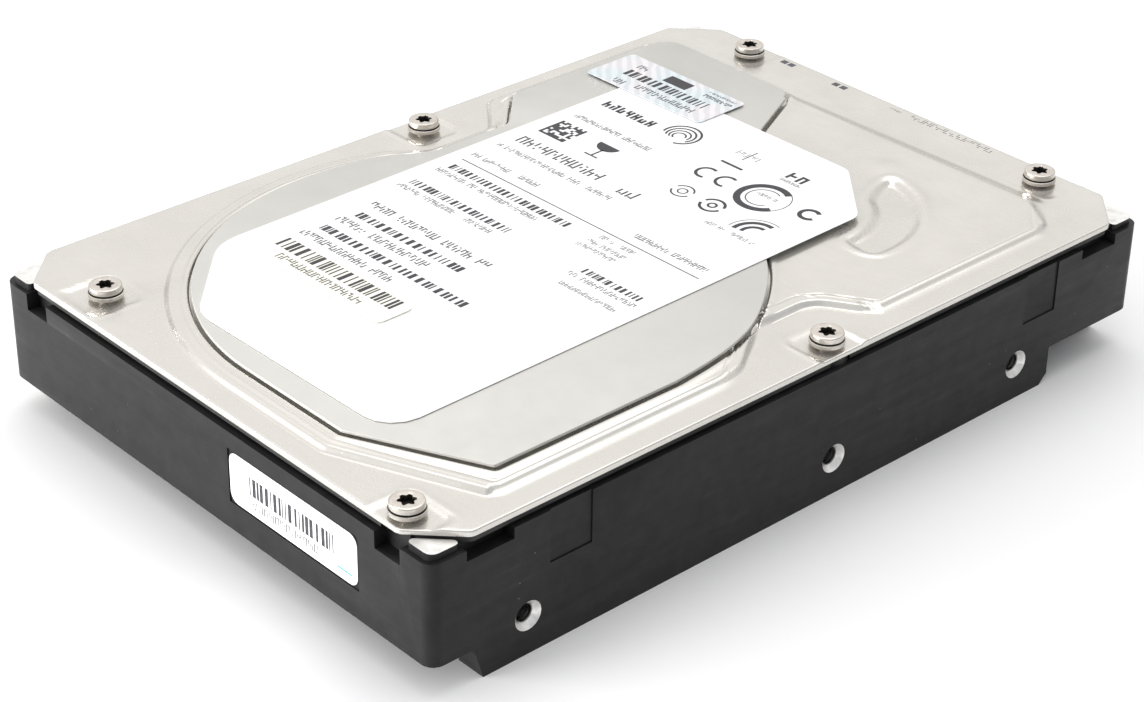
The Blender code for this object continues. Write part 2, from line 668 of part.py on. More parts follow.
def circuit_board(green):
    side = HALF_WIDTH - RAIL_WIDTH - BOARD_SIDE_GAP
    rear = HALF_LENGTH - BOARD_REAR_INSET
    holes = [circle(place, BOARD_SCREW_SHANK + BORE_CLEARANCE, 12) for place in board_screw_places()]
    board = plate("circuit_board", [rectangle(-side, BOARD_FRONT, side, rear)] + holes, BOARD_BOTTOM, BOARD_TOP)
    cut(board, disc("board_notch", SPINDLE, MOTOR_HOLE_RADIUS, 0.0, BOARD_TOP + MM, 32, CUTTERS))
    low = (CONNECTOR_LEFT - GAP, CONNECTOR_FRONT - GAP, 0.0)
    box_cut(board, "connector_bay", low, (HALF_WIDTH, HALF_LENGTH, BOARD_TOP + MM))
    board.data.materials.append(green)


def rear_connector(plastic):
    """The data and power plug: a back block, two guide posts and two L-shaped tongues."""
    low, post = 0.8 * MM, 2.2 * MM
    high = (CONNECTOR_RIGHT, CONNECTOR_FACE, CONNECTOR_TOP)
    body = block("rear_connector", (CONNECTOR_LEFT, CONNECTOR_FRONT, low), high)
    start = CONNECTOR_FACE - 0.5 * MM
    for tag, x in (("left", CONNECTOR_LEFT), ("right", CONNECTOR_RIGHT - post)):
        inner = 0.02 * MM
        end = (x + post, CONNECTOR_REAR, CONNECTOR_TOP - inner)
        join(body, block(f"guide_{tag}", (x, start, low + inner), end, CUTTERS))
    level = 3.2 * MM
    tongues = (("data", CONNECTOR_LEFT + 4.2 * MM, 10.4 * MM), ("power", CONNECTOR_LEFT + 17.0 * MM, 20.6 * MM))
    for tag, x, width in tongues:
        end = CONNECTOR_REAR - 0.8 * MM
        join(body, block(f"{tag}_tongue", (x, start, level), (x + width, end, level + TONGUE_THICKNESS), CUTTERS))
        lip = (x + width, end + 0.01 * MM, level + 2.0 * MM)
        join(body, block(f"{tag}_key", (x + width - 1.2 * MM, start, level + 0.5 * MM), lip, CUTTERS))
    body.data.materials.append(plastic)


def jumper_block(plastic):
    pitch, pin = 2.0 * MM, 0.6 * MM
    x0, y0, z0 = CONNECTOR_LEFT - 12.0 * MM, HALF_LENGTH - 9.0 * MM, BOARD_TOP + GAP
    body = block("jumper_block", (x0, y0, z0), (x0 + 4 * pitch, y0 + 2.5 * MM, z0 + 2.6 * MM))
    for column in range(4):
        for row in range(2):
            x = x0 + (column + 0.5) * pitch - pin / 2
            z = z0 + 0.3 * MM + row * 1.4 * MM
            pin_end = (x + pin, HALF_LENGTH - 1.0 * MM, z + pin)
            join(body, block(f"pin_{column}_{row}", (x, y0 + MM, z), pin_end, CUTTERS))
    body.data.materials.append(plastic)


def board_parts(plastic, foam, steel):
    margin = 1.0 * MM
    holes = []
    for name, x, y, width, depth in CHIPS:
        y += SPINDLE_Y
        chip = block(name, (x, y, CHIP_BOTTOM), (x + width, y + depth, CHIP_BOTTOM + CHIP_HEIGHT))
        chip.data.materials.append(plastic)
        holes.append(rectangle(x - margin, y - margin, x + width + margin, y + depth + margin))
    side = HALF_WIDTH - RAIL_WIDTH - 10.0 * MM
    sheet = rectangle(-side, SPINDLE_Y + 26.0 * MM, side, SPINDLE_Y + 58.0 * MM, 2.0 * MM)
    pad = plate("board_pad", [sheet] + holes, CHIP_BOTTOM, FLOOR_BOTTOM - GAP)
    pad.data.materials.append(foam)
    for i, place in enumerate(board_screw_places()):
        top = FLOOR_BOTTOM + BOARD_SCREW_DEPTH - GAP
        under = BOARD_BOTTOM - GAP
        head = 2.0 * MM
        profile = [
            (0.0, top), (BOARD_SCREW_SHANK, top), (BOARD_SCREW_SHANK, under), (head, under),
            (head, under - 0.6 * MM), (head - 0.3 * MM, under - 0.8 * MM), (0.0, under - 0.8 * MM),
        ]
        screw = turned(f"board_screw_{i + 1}", profile, place, 12)
        cut(screw, star_socket(place, 0.9 * MM, 0.0, under - 0.3 * MM, f"board_socket_{i}"))
        screw.data.materials.append(steel)


def spindle_motor(steel, copper, magnet):
    bore = SHAFT_RADIUS + BORE_CLEARANCE
    plug = MOTOR_HOLE_RADIUS - GAP
    lip = MOTOR_HOLE_RADIUS + 3.0 * MM
    lip_top = FLOOR_BOTTOM - GAP
    seat = 8.7 * MM
    profile = [
        (9.0 * MM, seat), (9.0 * MM, FLOOR_TOP), (plug, FLOOR_TOP), (plug, lip_top), (lip, lip_top),
        (lip, lip_top - 1.2 * MM), (bore, lip_top - 1.2 * MM), (bore, seat),
    ]
    flange = turned("motor_flange", profile, SPINDLE, 32, closed=True)
    flange.data.materials.append(steel)
    shaft = disc("motor_shaft", SPINDLE, SHAFT_RADIUS, lip_top - 0.8 * MM, CLAMP_BOTTOM + 0.9 * MM, 24)
    shaft.data.materials.append(steel)
    stator = ring("motor_stator", SPINDLE, 5.4 * MM, 9.4 * MM, seat + GAP, 14.5 * MM, 24)
    stator.data.materials.append(copper)
    hub_top = CLAMP_BOTTOM - GAP
    well = hub_top - 1.6 * MM
    inner, outer = 5.0 * MM, HUB_RADIUS - 1.2 * MM
    profile = [
        (HUB_RADIUS, hub_top), (HUB_RADIUS, HUB_FLANGE_TOP), (HUB_FLANGE_RADIUS, HUB_FLANGE_TOP),
        (HUB_FLANGE_RADIUS, HUB_BOTTOM), (outer, HUB_BOTTOM), (outer, well), (inner, well),
        (inner, seat + 0.5 * MM), (bore, seat + 0.5 * MM), (bore, hub_top),
    ]
    hub = turned("rotor_hub", profile, SPINDLE, 24, closed=True)
    for i, place in enumerate(clamp_screw_places()):
        cut(hub, disc(f"hub_bore_{i}", place, 1.1 * MM, hub_top - 1.2 * MM, hub_top + MM, 12, CUTTERS))
    hub.data.materials.append(steel)
    rotor_ring = ring("rotor_magnet", SPINDLE, 9.9 * MM, outer - GAP, HUB_BOTTOM, well - GAP, 24)
    rotor_ring.data.materials.append(magnet)


def clamp_screw_places():
    step = 2 * pi / CLAMP_SCREW_COUNT
    return [polar(SPINDLE, CLAMP_SCREW_CIRCLE, step * (i + 0.5)) for i in range(CLAMP_SCREW_COUNT)]


def disc_stack(mirror, metal, steel):
    inner = HUB_RADIUS + GAP
    for name, bottom in (("lower_platter", LOWER_PLATTER), ("upper_platter", UPPER_PLATTER)):
        platter = ring(name, SPINDLE, inner, PLATTER_RADIUS, bottom, bottom + PLATTER_THICKNESS, 72)
        platter.data.materials.append(mirror)
    top = SPACER_BOTTOM + SPACER_HEIGHT
    spacer = ring("disc_spacer", SPINDLE, inner, HUB_FLANGE_RADIUS, SPACER_BOTTOM, top, 24)
    spacer.data.materials.append(metal)
    clamp_top = CLAMP_BOTTOM + CLAMP_THICKNESS
    clamp = ring("disc_clamp", SPINDLE, SHAFT_RADIUS + 0.9 * MM, HUB_FLANGE_RADIUS, CLAMP_BOTTOM, clamp_top, 24)
    clamp.data.materials.append(metal)
    for i, place in enumerate(clamp_screw_places()):
        cut(clamp, disc(f"clamp_hole_{i}", place, 1.1 * MM, CLAMP_BOTTOM - MM, clamp_top + MM, 12, CUTTERS))
        base = clamp_top + GAP
        profile = [
            (0.0, base + 0.8 * MM), (1.5 * MM, base + 0.8 * MM), (1.7 * MM, base + 0.6 * MM), (1.7 * MM, base),
            (0.8 * MM, base), (0.8 * MM, CLAMP_BOTTOM - 1.1 * MM), (0.0, CLAMP_BOTTOM - 1.1 * MM),
        ]
        screw = turned(f"clamp_screw_{i + 1}", profile, place, 12)
        screw.data.materials.append(steel)


def arm_levels():
    """Mid heights of the three arms: under, between and over the two discs."""
    gap_middle = (LOWER_PLATTER + PLATTER_THICKNESS + UPPER_PLATTER) / 2
    reach = (UPPER_PLATTER - LOWER_PLATTER - PLATTER_THICKNESS) / 2
    return LOWER_PLATTER - reach, gap_middle, UPPER_PLATTER + PLATTER_THICKNESS + reach


def sector(inner, outer, start, end, count=9):
    """A ring sector about the pivot, angles in radians."""
    out = arc(PIVOT, outer, degrees(start), degrees(end), count)
    back = arc(PIVOT, inner, degrees(end), degrees(start), count)
    return out + back


def arm_shape(start, near_half, reach, far_half):
    """A tapered arm outline along the parked direction."""
    corners = [(start, -near_half), (reach, -far_half), (reach, far_half), (start, near_half)]
    outline = [(PIVOT_X + x, PIVOT_Y + y) for x, y in corners]
    return turn_outline(outline, PARKED_ANGLE, PIVOT)


def coil_levels():
    middle = arm_levels()[1]
    return middle - COIL_THICKNESS / 2, middle + COIL_THICKNESS / 2


def actuator(metal, steel, copper):
    low, middle, high = arm_levels()
    bottom, top = low - ARM_THICKNESS / 2, high + ARM_THICKNESS / 2
    bore = SLEEVE_RADIUS + BORE_CLEARANCE
    arms = ring("arm_block", PIVOT, bore, ARM_HUB_RADIUS, bottom, top, 24)
    for i, level in enumerate((low, middle, high)):
        trim = 0.02 * MM * (i != 1)
        start, end = level - ARM_THICKNESS / 2 + trim, level + ARM_THICKNESS / 2 - trim
        tip = plate(f"arm_{i}", [arm_shape(7.2 * MM, 3.4 * MM, ARM_LENGTH, 2.6 * MM)], start, end, CUTTERS)
        join(arms, tip)
    coil_bottom, coil_top = coil_levels()
    coil_angle = PARKED_ANGLE - pi
    slack = radians(1.6)
    finger = radians(5.0)
    limit = COIL_HALF_ANGLE + slack
    base = sector(7.2 * MM, COIL_INNER - GAP, coil_angle - limit - finger, coil_angle + limit + finger)
    join(arms, plate("coil_seat", [base], coil_bottom, coil_top, CUTTERS))
    for tag, edge in (("low", coil_angle - limit - finger), ("high", coil_angle + limit)):
        prong = sector(COIL_INNER - 1.5 * MM, COIL_OUTER, edge, edge + finger, 4)
        join(arms, plate(f"prong_{tag}", [prong], coil_bottom + 0.05 * MM, coil_top - 0.05 * MM, CUTTERS))
    arms.data.materials.append(metal)
    outer = sector(COIL_INNER, COIL_OUTER, coil_angle - COIL_HALF_ANGLE, coil_angle + COIL_HALF_ANGLE)
    trimmed = COIL_HALF_ANGLE - COIL_WIDTH / COIL_OUTER * 1.1
    window = sector(COIL_INNER + COIL_WIDTH, COIL_OUTER - COIL_WIDTH, coil_angle - trimmed, coil_angle + trimmed)
    coil = plate("voice_coil", [outer, window], coil_bottom, coil_top)
    coil.data.materials.append(copper)
    sleeve = ring("pivot_sleeve", PIVOT, SHAFT_RADIUS + BORE_CLEARANCE, SLEEVE_RADIUS, bottom - 0.5 * MM, top, 24)
    sleeve.data.materials.append(steel)
    shaft = disc("pivot_shaft", PIVOT, SHAFT_RADIUS, FLOOR_TOP - 1.3 * MM, top + 0.6 * MM, 24)
    shaft.data.materials.append(steel)
    suspensions(steel)


def suspensions(steel):
    low, middle, high = arm_levels()
    faces = ((low, 1), (middle, -1), (middle, 1), (high, -1))
    for i, (level, way) in enumerate(faces):
        near = level + way * (ARM_THICKNESS / 2 + GAP)
        far = near + way * SUSPENSION_THICKNESS
        outline = arm_shape(ARM_LENGTH - 6.0 * MM, 2.4 * MM, HEAD_REACH + 0.4 * MM, 0.7 * MM)
        beam = plate(f"suspension_{i + 1}", [outline], min(near, far), max(near, far))
        tab = arm_shape(HEAD_REACH, 0.4 * MM, HEAD_REACH + 2.4 * MM, 0.4 * MM)
        trim = 0.02 * MM
        join(beam, plate(f"tab_{i}", [tab], min(near, far) + trim, max(near, far) - trim, CUTTERS))
        end = far + way * SLIDER_DROP
        slider = arm_shape(HEAD_REACH - 1.6 * MM, 0.6 * MM, HEAD_REACH, 0.6 * MM)
        inside = far - way * trim
        join(beam, plate(f"slider_{i}", [slider], min(inside, end), max(inside, end), CUTTERS))
        beam.data.materials.append(steel)


def voice_coil_magnets(steel, magnet):
    coil_bottom, coil_top = coil_levels()
    lower_yoke = FLOOR_TOP + GAP
    lower_magnet = lower_yoke + YOKE_THICKNESS + GAP
    leg_inner = COIL_OUTER + 0.6 * MM
    yoke_outer = leg_inner + YOKE_THICKNESS
    shape = sector(10.5 * MM, yoke_outer, MAGNET_START, MAGNET_END, 13)
    field = sector(COIL_INNER - MM, COIL_OUTER, MAGNET_START + 0.04, MAGNET_END - 0.04, 13)
    yoke = plate("lower_yoke", [shape], lower_yoke, lower_yoke + YOKE_THICKNESS)
    upper_magnet = coil_top + 0.8 * MM
    upper_yoke = upper_magnet + MAGNET_THICKNESS + GAP
    top = plate("upper_yoke", [shape], upper_yoke, upper_yoke + YOKE_THICKNESS)
    leg = sector(leg_inner, yoke_outer - 0.02 * MM, radians(28), radians(46), 5)
    join(top, plate("yoke_leg", [leg], lower_yoke + YOKE_THICKNESS + GAP, upper_yoke + 0.5 * MM, CUTTERS))
    for piece in (yoke, top):
        piece.data.materials.append(steel)
    for name, bottom in (("lower_magnet", lower_magnet), ("upper_magnet", upper_magnet)):
        thickness = min(MAGNET_THICKNESS, coil_bottom - 0.6 * MM - lower_magnet)
        piece = plate(name, [field], bottom, bottom + thickness)
        piece.data.materials.append(magnet)


def load_ramp(plastic):
    """A comb beyond the discs' edge, whose two fins hold the parked suspensions' tabs."""
    face = HEAD_REACH + 1.0 * MM
    wall = HEAD_REACH + 3.0 * MM
    start, end = PARKED_ANGLE - radians(7.0), PARKED_ANGLE + radians(6.6)
    bottom, top = FLOOR_TOP + GAP, UPPER_PLATTER + PLATTER_THICKNESS + 3.0 * MM
    ramp = plate("load_ramp", [sector(face, wall + 3.0 * MM, start, end)], bottom, top)
    fin = PLATTER_THICKNESS / 2 + 0.4 * MM
    middles = [LOWER_PLATTER + PLATTER_THICKNESS / 2, UPPER_PLATTER + PLATTER_THICKNESS / 2]
    slots = [(bottom - MM, middles[0] - fin), (middles[0] + fin, middles[1] - fin), (middles[1] + fin, top + MM)]
    slot_shape = sector(face - MM, wall, start - 0.1, end + 0.1)
    for i, (low, high) in enumerate(slots):
        cut(ramp, plate(f"ramp_slot_{i}", [slot_shape], low, high, CUTTERS))
    ramp.data.materials.append(plastic)


LATCH_X, LATCH_Y = polar(PIVOT, 24.0 * MM, radians(-30.0))
LATCH_PIN_RADIUS = 1.0 * MM


def stops_and_latch(rubber, plastic, steel):
    bottom, top = FLOOR_TOP + GAP, UPPER_PLATTER + PLATTER_THICKNESS + 1.5 * MM
    for name, angle in (("outer_stop", -9.5), ("inner_stop", 83.0)):
        place = polar(PIVOT, 20.0 * MM, radians(angle))
        stop = disc(name, place, 1.5 * MM, bottom, top, 16)
        stop.data.materials.append(rubber)
    coil_bottom, coil_top = coil_levels()
    place = (LATCH_X, LATCH_Y)
    lever = ring("latch_lever", place, LATCH_PIN_RADIUS + BORE_CLEARANCE, 2.6 * MM, coil_bottom, coil_top, 20)
    reach = [(1.9, -1.0), (5.6, -0.8), (9.3, -0.7), (9.3, 0.9), (5.6, 0.8), (1.9, 1.0)]
    arm = turn_outline([(LATCH_X + x * MM, LATCH_Y + y * MM) for x, y in reach], radians(60), place)
    tail = [(-1.9, 1.0), (-7.0, 1.6), (-7.0, -1.6), (-1.9, -1.0)]
    weight = turn_outline([(LATCH_X + x * MM, LATCH_Y + y * MM) for x, y in tail], radians(60), place)
    for tag, outline in (("arm", arm), ("weight", weight)):
        inset = 0.1 * MM
        join(lever, plate("latch_" + tag, [outline], coil_bottom + inset, coil_top - inset, CUTTERS))
    lever.data.materials.append(plastic)
    pin = disc("latch_pin", place, LATCH_PIN_RADIUS, bottom, top, 16)
    pin.data.materials.append(steel)


def flex_and_filters(amber, plastic, felt):
    x0, y0, x1, y1 = head_connector_box()
    connector = block("head_connector", (x0, y0, CHIP_BOTTOM), (x1, y1, 12.5 * MM))
    connector.data.materials.append(plastic)
    end = polar(PIVOT, ARM_HUB_RADIUS + 0.9 * MM, radians(112))
    start = (x1 - 6.0 * MM, y0 - 0.6 * MM)
    first, second = (start[0] + 14.0 * MM, start[1] - 1.0 * MM), (end[0] - 5.0 * MM, end[1] + 10.0 * MM)
    half = 0.15 * MM
    left, right = [], []
    count = 17
    for i in range(count):
        t = i / (count - 1)
        weights = ((1 - t) ** 3, 3 * t * (1 - t) ** 2, 3 * t * t * (1 - t), t ** 3)
        slopes = (-3 * (1 - t) ** 2, 3 * (1 - t) ** 2 - 6 * t * (1 - t), 6 * t * (1 - t) - 3 * t * t, 3 * t * t)
        points = (start, first, second, end)
        x, y = (sum(w * p[k] for w, p in zip(weights, points)) for k in (0, 1))
        dx, dy = (sum(w * p[k] for w, p in zip(slopes, points)) for k in (0, 1))
        length = (dx * dx + dy * dy) ** 0.5
        left.append((x - dy / length * half, y + dx / length * half))
        right.append((x + dy / length * half, y - dx / length * half))
    flex = plate("flex_cable", [left + right[::-1]], FLOOR_TOP + 1.0 * MM, FLOOR_TOP + 8.0 * MM)
    flex.data.materials.append(amber)
    side, rear = HALF_WIDTH - SIDE_WALL - 2.2 * MM, HALF_LENGTH - REAR_LAND - 5.5 * MM
    low = (-side, rear - 10.0 * MM, FLOOR_TOP + GAP)
    breather = block("breather_filter", low, (-side + 10.0 * MM, rear, FLOOR_TOP + 4.0 * MM))
    breather.data.materials.append(plastic)
    corner_x, corner_y = FILTER_CORNER
    spots = [(10.5, 1.5), (2.0, 9.0), (3.4, 10.6), (11.9, 3.1)]
    outline = [(corner_x - x * MM, corner_y + y * MM) for x, y in spots]
    recirculation = plate("recirculation_filter", [outline], FLOOR_TOP + GAP, FLOOR_TOP + 10.0 * MM)
    recirculation.data.materials.append(felt)


def build():
    clear_scene()
    paint = make_material("black_paint", (0.02, 0.02, 0.022), 0.45, 0.0)
    cover_metal = make_material("cover_metal", (0.76, 0.75, 0.71), 0.35, 1.0)
    metal = make_material("aluminium", (0.8, 0.8, 0.8), 0.35, 1.0)
    nickel = make_material("nickel", (0.72, 0.69, 0.64), 0.25, 1.0)
    steel = make_material("steel", (0.6, 0.6, 0.6), 0.3, 1.0)
    mirror = make_material("disc_coating", (0.75, 0.75, 0.76), 0.04, 1.0)
    copper = make_material("copper_wire", (0.72, 0.35, 0.18), 0.4, 1.0)
    magnet = make_material("magnet", (0.55, 0.55, 0.56), 0.35, 1.0)
    rubber = make_material("black_rubber", (0.015, 0.015, 0.015), 0.8, 0.0)
    paper = make_material("label_stock", (0.9, 0.9, 0.89), 0.4, 0.0)
    green = make_material("board_green", (0.03, 0.16, 0.08), 0.35, 0.0)
    plastic = make_material("black_plastic", (0.02, 0.02, 0.02), 0.45, 0.0)
    ivory = make_material("ramp_plastic", (0.8, 0.78, 0.7), 0.4, 0.0)
    amber = make_material("flex_film", (0.7, 0.35, 0.05), 0.3, 0.0)
    felt = make_material("felt", (0.85, 0.85, 0.83), 0.95, 0.0)
    base_casting(paint)
    top_cover(cover_metal)
    cover_gasket(rubber)
    damper = plate("damping_plate", [damper_outline()], DAMPER_BOTTOM, DAMPER_TOP)
    damper.data.materials.append(cover_metal)
    cover_screws(nickel)
    labels(paper)
    circuit_board(green)
    rear_connector(plastic)
    jumper_block(plastic)
    board_parts(plastic, rubber, steel)
    spindle_motor(steel, copper, magnet)
    disc_stack(mirror, metal, steel)
    actuator(metal, steel, copper)
    voice_coil_magnets(steel, magnet)
    load_ramp(ivory)
    stops_and_latch(rubber, plastic, steel)
    flex_and_filters(amber, plastic, felt)


build()
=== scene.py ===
"""Looks of a 3.5-inch hard disk drive, laid out as an add-on and run as a script."""

import bmesh
import bpy
import numpy as np
from mathutils import Matrix, Vector


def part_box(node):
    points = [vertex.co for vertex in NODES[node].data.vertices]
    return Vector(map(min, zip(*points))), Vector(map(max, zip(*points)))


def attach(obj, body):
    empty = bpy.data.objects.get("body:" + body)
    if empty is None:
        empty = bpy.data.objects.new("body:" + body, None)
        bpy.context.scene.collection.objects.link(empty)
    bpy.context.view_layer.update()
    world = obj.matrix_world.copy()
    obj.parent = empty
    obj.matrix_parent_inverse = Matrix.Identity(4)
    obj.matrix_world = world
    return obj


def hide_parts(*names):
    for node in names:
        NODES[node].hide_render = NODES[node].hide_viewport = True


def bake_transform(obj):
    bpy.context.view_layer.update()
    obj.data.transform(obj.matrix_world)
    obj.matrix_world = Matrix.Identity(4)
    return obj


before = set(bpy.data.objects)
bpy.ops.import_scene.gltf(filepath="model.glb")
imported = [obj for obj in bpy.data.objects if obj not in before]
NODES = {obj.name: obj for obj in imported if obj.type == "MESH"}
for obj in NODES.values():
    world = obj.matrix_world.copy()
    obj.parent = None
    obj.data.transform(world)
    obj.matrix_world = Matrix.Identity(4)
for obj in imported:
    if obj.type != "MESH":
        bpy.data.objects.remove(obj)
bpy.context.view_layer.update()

bl_info = {
    "name": "Hard Disk Drive Looks",
    "version": (1, 0, 0),
    "blender": (4, 5, 0),
    "location": "View3D > Sidebar > Disk Drive",
    "description": "Builds the cover, labels, fasteners and finishes of a 3.5-inch disk drive",
    "category": "Object",
}

MM = 0.001


def node_box(name):
    """A CAD node's low and high corners as arrays."""
    return [np.array(corner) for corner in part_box(name)]


HALF_WIDTH, HALF_LENGTH = node_box("base_casting")[1][:2]
COVER_LOW, COVER_HIGH = node_box("top_cover")
DAMPER_LOW, DAMPER_HIGH = node_box("damping_plate")
LABEL_LOW, LABEL_HIGH = node_box("main_label")
SMALL_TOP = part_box("small_label")[1][2]
ASSET_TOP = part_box("asset_sticker")[1][2]
SCREW_NODES = [f"cover_screw_{i}" for i in range(1, 7)]


def node_centre(name):
    """The middle of a CAD node's plan."""
    low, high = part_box(name)
    return np.array([(low[0] + high[0]) / 2, (low[1] + high[1]) / 2])


SCREW_CENTRES = [node_centre(name) for name in SCREW_NODES]
SPINDLE = node_centre("rotor_hub")
PIVOT = node_centre("pivot_shaft")
SHEET = 0.9 * MM
# Threaded fixing holes: side ones in from the plug end, then by steps; bottom ones in from the same end.
FIRST_HOLE_INSET = 28.5 * MM
SIDE_HOLE_STEPS = (0.0, 41.61 * MM, 101.6 * MM)
SIDE_HOLE_HEIGHT = 6.35 * MM
BOTTOM_HOLE_INSETS = (41.28 * MM, 85.73 * MM)
BOTTOM_HOLE_SIDE_INSET = 3.18 * MM
HOLE_MOUTH = 2.3 * MM
WELD = 2e-6
FLANGE_Z = COVER_LOW[2] + SHEET
DOME_Z = COVER_HIGH[2]


# ---------------------------------------------------------------- shapes

def new_object(name, points, faces, smooth=True):
    """Puts whole arrays of points and faces into a mesh object at the origin."""
    mesh = bpy.data.meshes.new(name)
    mesh.from_pydata(points, [], faces)
    mesh.validate()
    if smooth:
        mesh.shade_smooth()
    thing = bpy.data.objects.new(name, mesh)
    bpy.context.scene.collection.objects.link(thing)
    return thing


def grid_faces(rows, columns, closed):
    """Four-sided faces of a grid whose columns close into a ring when asked."""
    last = columns if closed else columns - 1
    r, c = np.meshgrid(np.arange(rows - 1), np.arange(last), indexing="ij")
    after = (c + 1) % columns
    here, above = r * columns, (r + 1) * columns
    quads = np.stack([here + c, here + after, above + after, above + c], -1)
    return quads.reshape(-1, 4).tolist()


def fix_outside(thing):
    """Welds doubles and turns every face outwards."""
    shape = bmesh.new()
    shape.from_mesh(thing.data)
    bmesh.ops.remove_doubles(shape, verts=shape.verts, dist=WELD)
    bmesh.ops.recalc_face_normals(shape, faces=shape.faces)
    shape.to_mesh(thing.data)
    shape.free()


def arc(centre, radius, start, end, count):
    """Points on an arc: centre plus radius times the cosine and sine of evenly spaced degrees."""
    angles = np.radians(np.linspace(start, end, count))
    return np.stack([centre[0] + radius * np.cos(angles), centre[1] + radius * np.sin(angles)], -1)


def rounded_path(corners, pieces=8):
    """A path through (x, y, radius) corners; each corner becomes a circle arc touching both its sides."""
    points = np.array([(x, y) for x, y, _ in corners])
    result = []
    count = len(corners)
    for i, (x, y, radius) in enumerate(corners):
        if radius == 0.0:
            result.append(points[i][None])
            continue
        here = points[i]
        back = points[i - 1] - here
        ahead = points[(i + 1) % count] - here
        back, ahead = back / np.linalg.norm(back), ahead / np.linalg.norm(ahead)
        half = np.arccos(np.clip(back @ ahead, -1, 1)) / 2
        middle = back + ahead
        centre = here + middle / np.linalg.norm(middle) * radius / np.sin(half)
        first = here + back * radius / np.tan(half) - centre
        last = here + ahead * radius / np.tan(half) - centre
        start = np.arctan2(first[1], first[0])
        sweep = (np.arctan2(last[1], last[0]) - start + np.pi) % (2 * np.pi) - np.pi
        result.append(arc(centre, radius, np.degrees(start), np.degrees(start + sweep), pieces + 1))
    return np.concatenate(result)


def turn_path(path, angle, centre):
    """The path turned about a point by an angle in radians."""
    c, s = np.cos(angle), np.sin(angle)
    moved = path - centre
    return np.stack([moved[:, 0] * c - moved[:, 1] * s, moved[:, 0] * s + moved[:, 1] * c], -1) + centre


def inset_path(path, distance):
    """Moves each point of a counter-clockwise path inwards along the mean of its two sides' normals."""
    before, after = np.roll(path, 1, 0), np.roll(path, -1, 0)
    sides = [path - before, after - path]
    lengths = [np.maximum(np.linalg.norm(side, axis=1), 1e-12)[:, None] for side in sides]
    normals = [np.stack([-side[:, 1], side[:, 0]], -1) / size for side, size in zip(sides, lengths)]
    mean = normals[0] + normals[1]
    mean /= np.maximum((mean * normals[0]).sum(1), 0.4)[:, None]
    return path + mean * distance


def slab(name, path, bottom, top, edge):
    """A flat slab: the outline carried up a profile of (inset, height), rounded at its upper edge, then capped."""
    turns = np.linspace(0, np.pi / 2, 4)
    profile = [(0.0, bottom)] + [(edge * (1 - np.cos(a)), top - edge * (1 - np.sin(a))) for a in turns]
    rings = [np.c_[inset_path(path, inset), np.full(len(path), z)] for inset, z in profile]
    count = len(path)
    faces = grid_faces(len(rings), count, True)
    faces.append(list(range(count))[::-1])
    faces.append([(len(rings) - 1) * count + i for i in range(count)])
    thing = new_object(name, np.concatenate(rings).tolist(), faces)
    thing.data.set_sharp_from_angle(angle=np.radians(40))
    return thing


def boxes(name, spans):
    """Many small boxes from rows of (x0, x1, y0, y1, z0, z1), all worked out as one array."""
    spans = np.asarray(spans, float)
    picks = np.array([
        [0, 2, 4], [1, 2, 4], [1, 3, 4], [0, 3, 4],
        [0, 2, 5], [1, 2, 5], [1, 3, 5], [0, 3, 5],
    ])
    points = spans[:, picks].reshape(-1, 3)
    sides = np.array([[3, 2, 1, 0], [4, 5, 6, 7], [0, 1, 5, 4], [1, 2, 6, 5], [2, 3, 7, 6], [3, 0, 4, 7]])
    faces = (np.arange(len(spans))[:, None, None] * 8 + sides).reshape(-1, 4)
    return new_object(name, points.tolist(), faces.tolist(), smooth=False)


def lathe(name, profile, centre, count, shape=None):
    """A profile of (radius, height) turned about Z; shape scales each ring's radius by angle."""
    angles = np.linspace(0, 2 * np.pi, count, endpoint=False)
    profile = np.asarray(profile, float)
    scale = np.ones((len(profile), count)) if shape is None else shape(profile, angles)
    radius = profile[:, :1] * scale
    x = centre[0] + radius * np.cos(angles)
    y = centre[1] + radius * np.sin(angles)
    z = np.repeat(profile[:, 1:], count, 1)
    points = np.stack([x, y, z], -1).reshape(-1, 3)
    thing = new_object(name, points.tolist(), grid_faces(len(profile), count, True))
    fix_outside(thing)
    thing.data.set_sharp_from_angle(angle=np.radians(40))
    return thing


def path_distance(points, path):
    """Signed distance from points to a closed path, negative inside, by whole arrays."""
    a, b = path, np.roll(path, -1, 0)
    ab = b - a
    length = np.maximum((ab ** 2).sum(1), 1e-18)
    result = np.empty(len(points))
    for start in range(0, len(points), 4000):
        p = points[start:start + 4000]
        ap = p[:, None] - a
        t = np.clip((ap * ab).sum(-1) / length, 0, 1)
        near = np.sqrt(((ap - ab * t[..., None]) ** 2).sum(-1)).min(1)
        crosses = (a[:, 1] > p[:, None, 1]) != (b[:, 1] > p[:, None, 1])
        rise = np.where(np.abs(ab[:, 1]) < 1e-15, 1e-15, ab[:, 1])
        at = a[:, 0] + (p[:, None, 1] - a[:, 1]) / rise * ab[:, 0]
        inside = (crosses & (p[:, None, 0] < at)).sum(1) % 2 == 1
        result[start:start + 4000] = np.where(inside, -near, near)
    return result


def smooth_step(value, low, high):
    """Zero below low, one above high, with a smooth cubic between."""
    t = np.clip((value - low) / (high - low), 0, 1)
    return t * t * (3 - 2 * t)


# --------------------------------------------------------------- outlines

def cover_path(inset=0.0):
    """The cover's plan: a rectangle with clipped corners, each clip softened by small arcs."""
    side, end = COVER_HIGH[0] - inset, COVER_HIGH[1] - inset
    clip = 6.9 * MM - inset * 0.4
    corners = []
    for sx, sy in ((1, -1), (1, 1), (-1, 1), (-1, -1)):
        pair = [(sx * (side - clip), sy * end, 1.4 * MM), (sx * side, sy * (end - clip), 1.4 * MM)]
        corners += pair if sx * sy < 0 else pair[::-1]
    return rounded_path(corners)


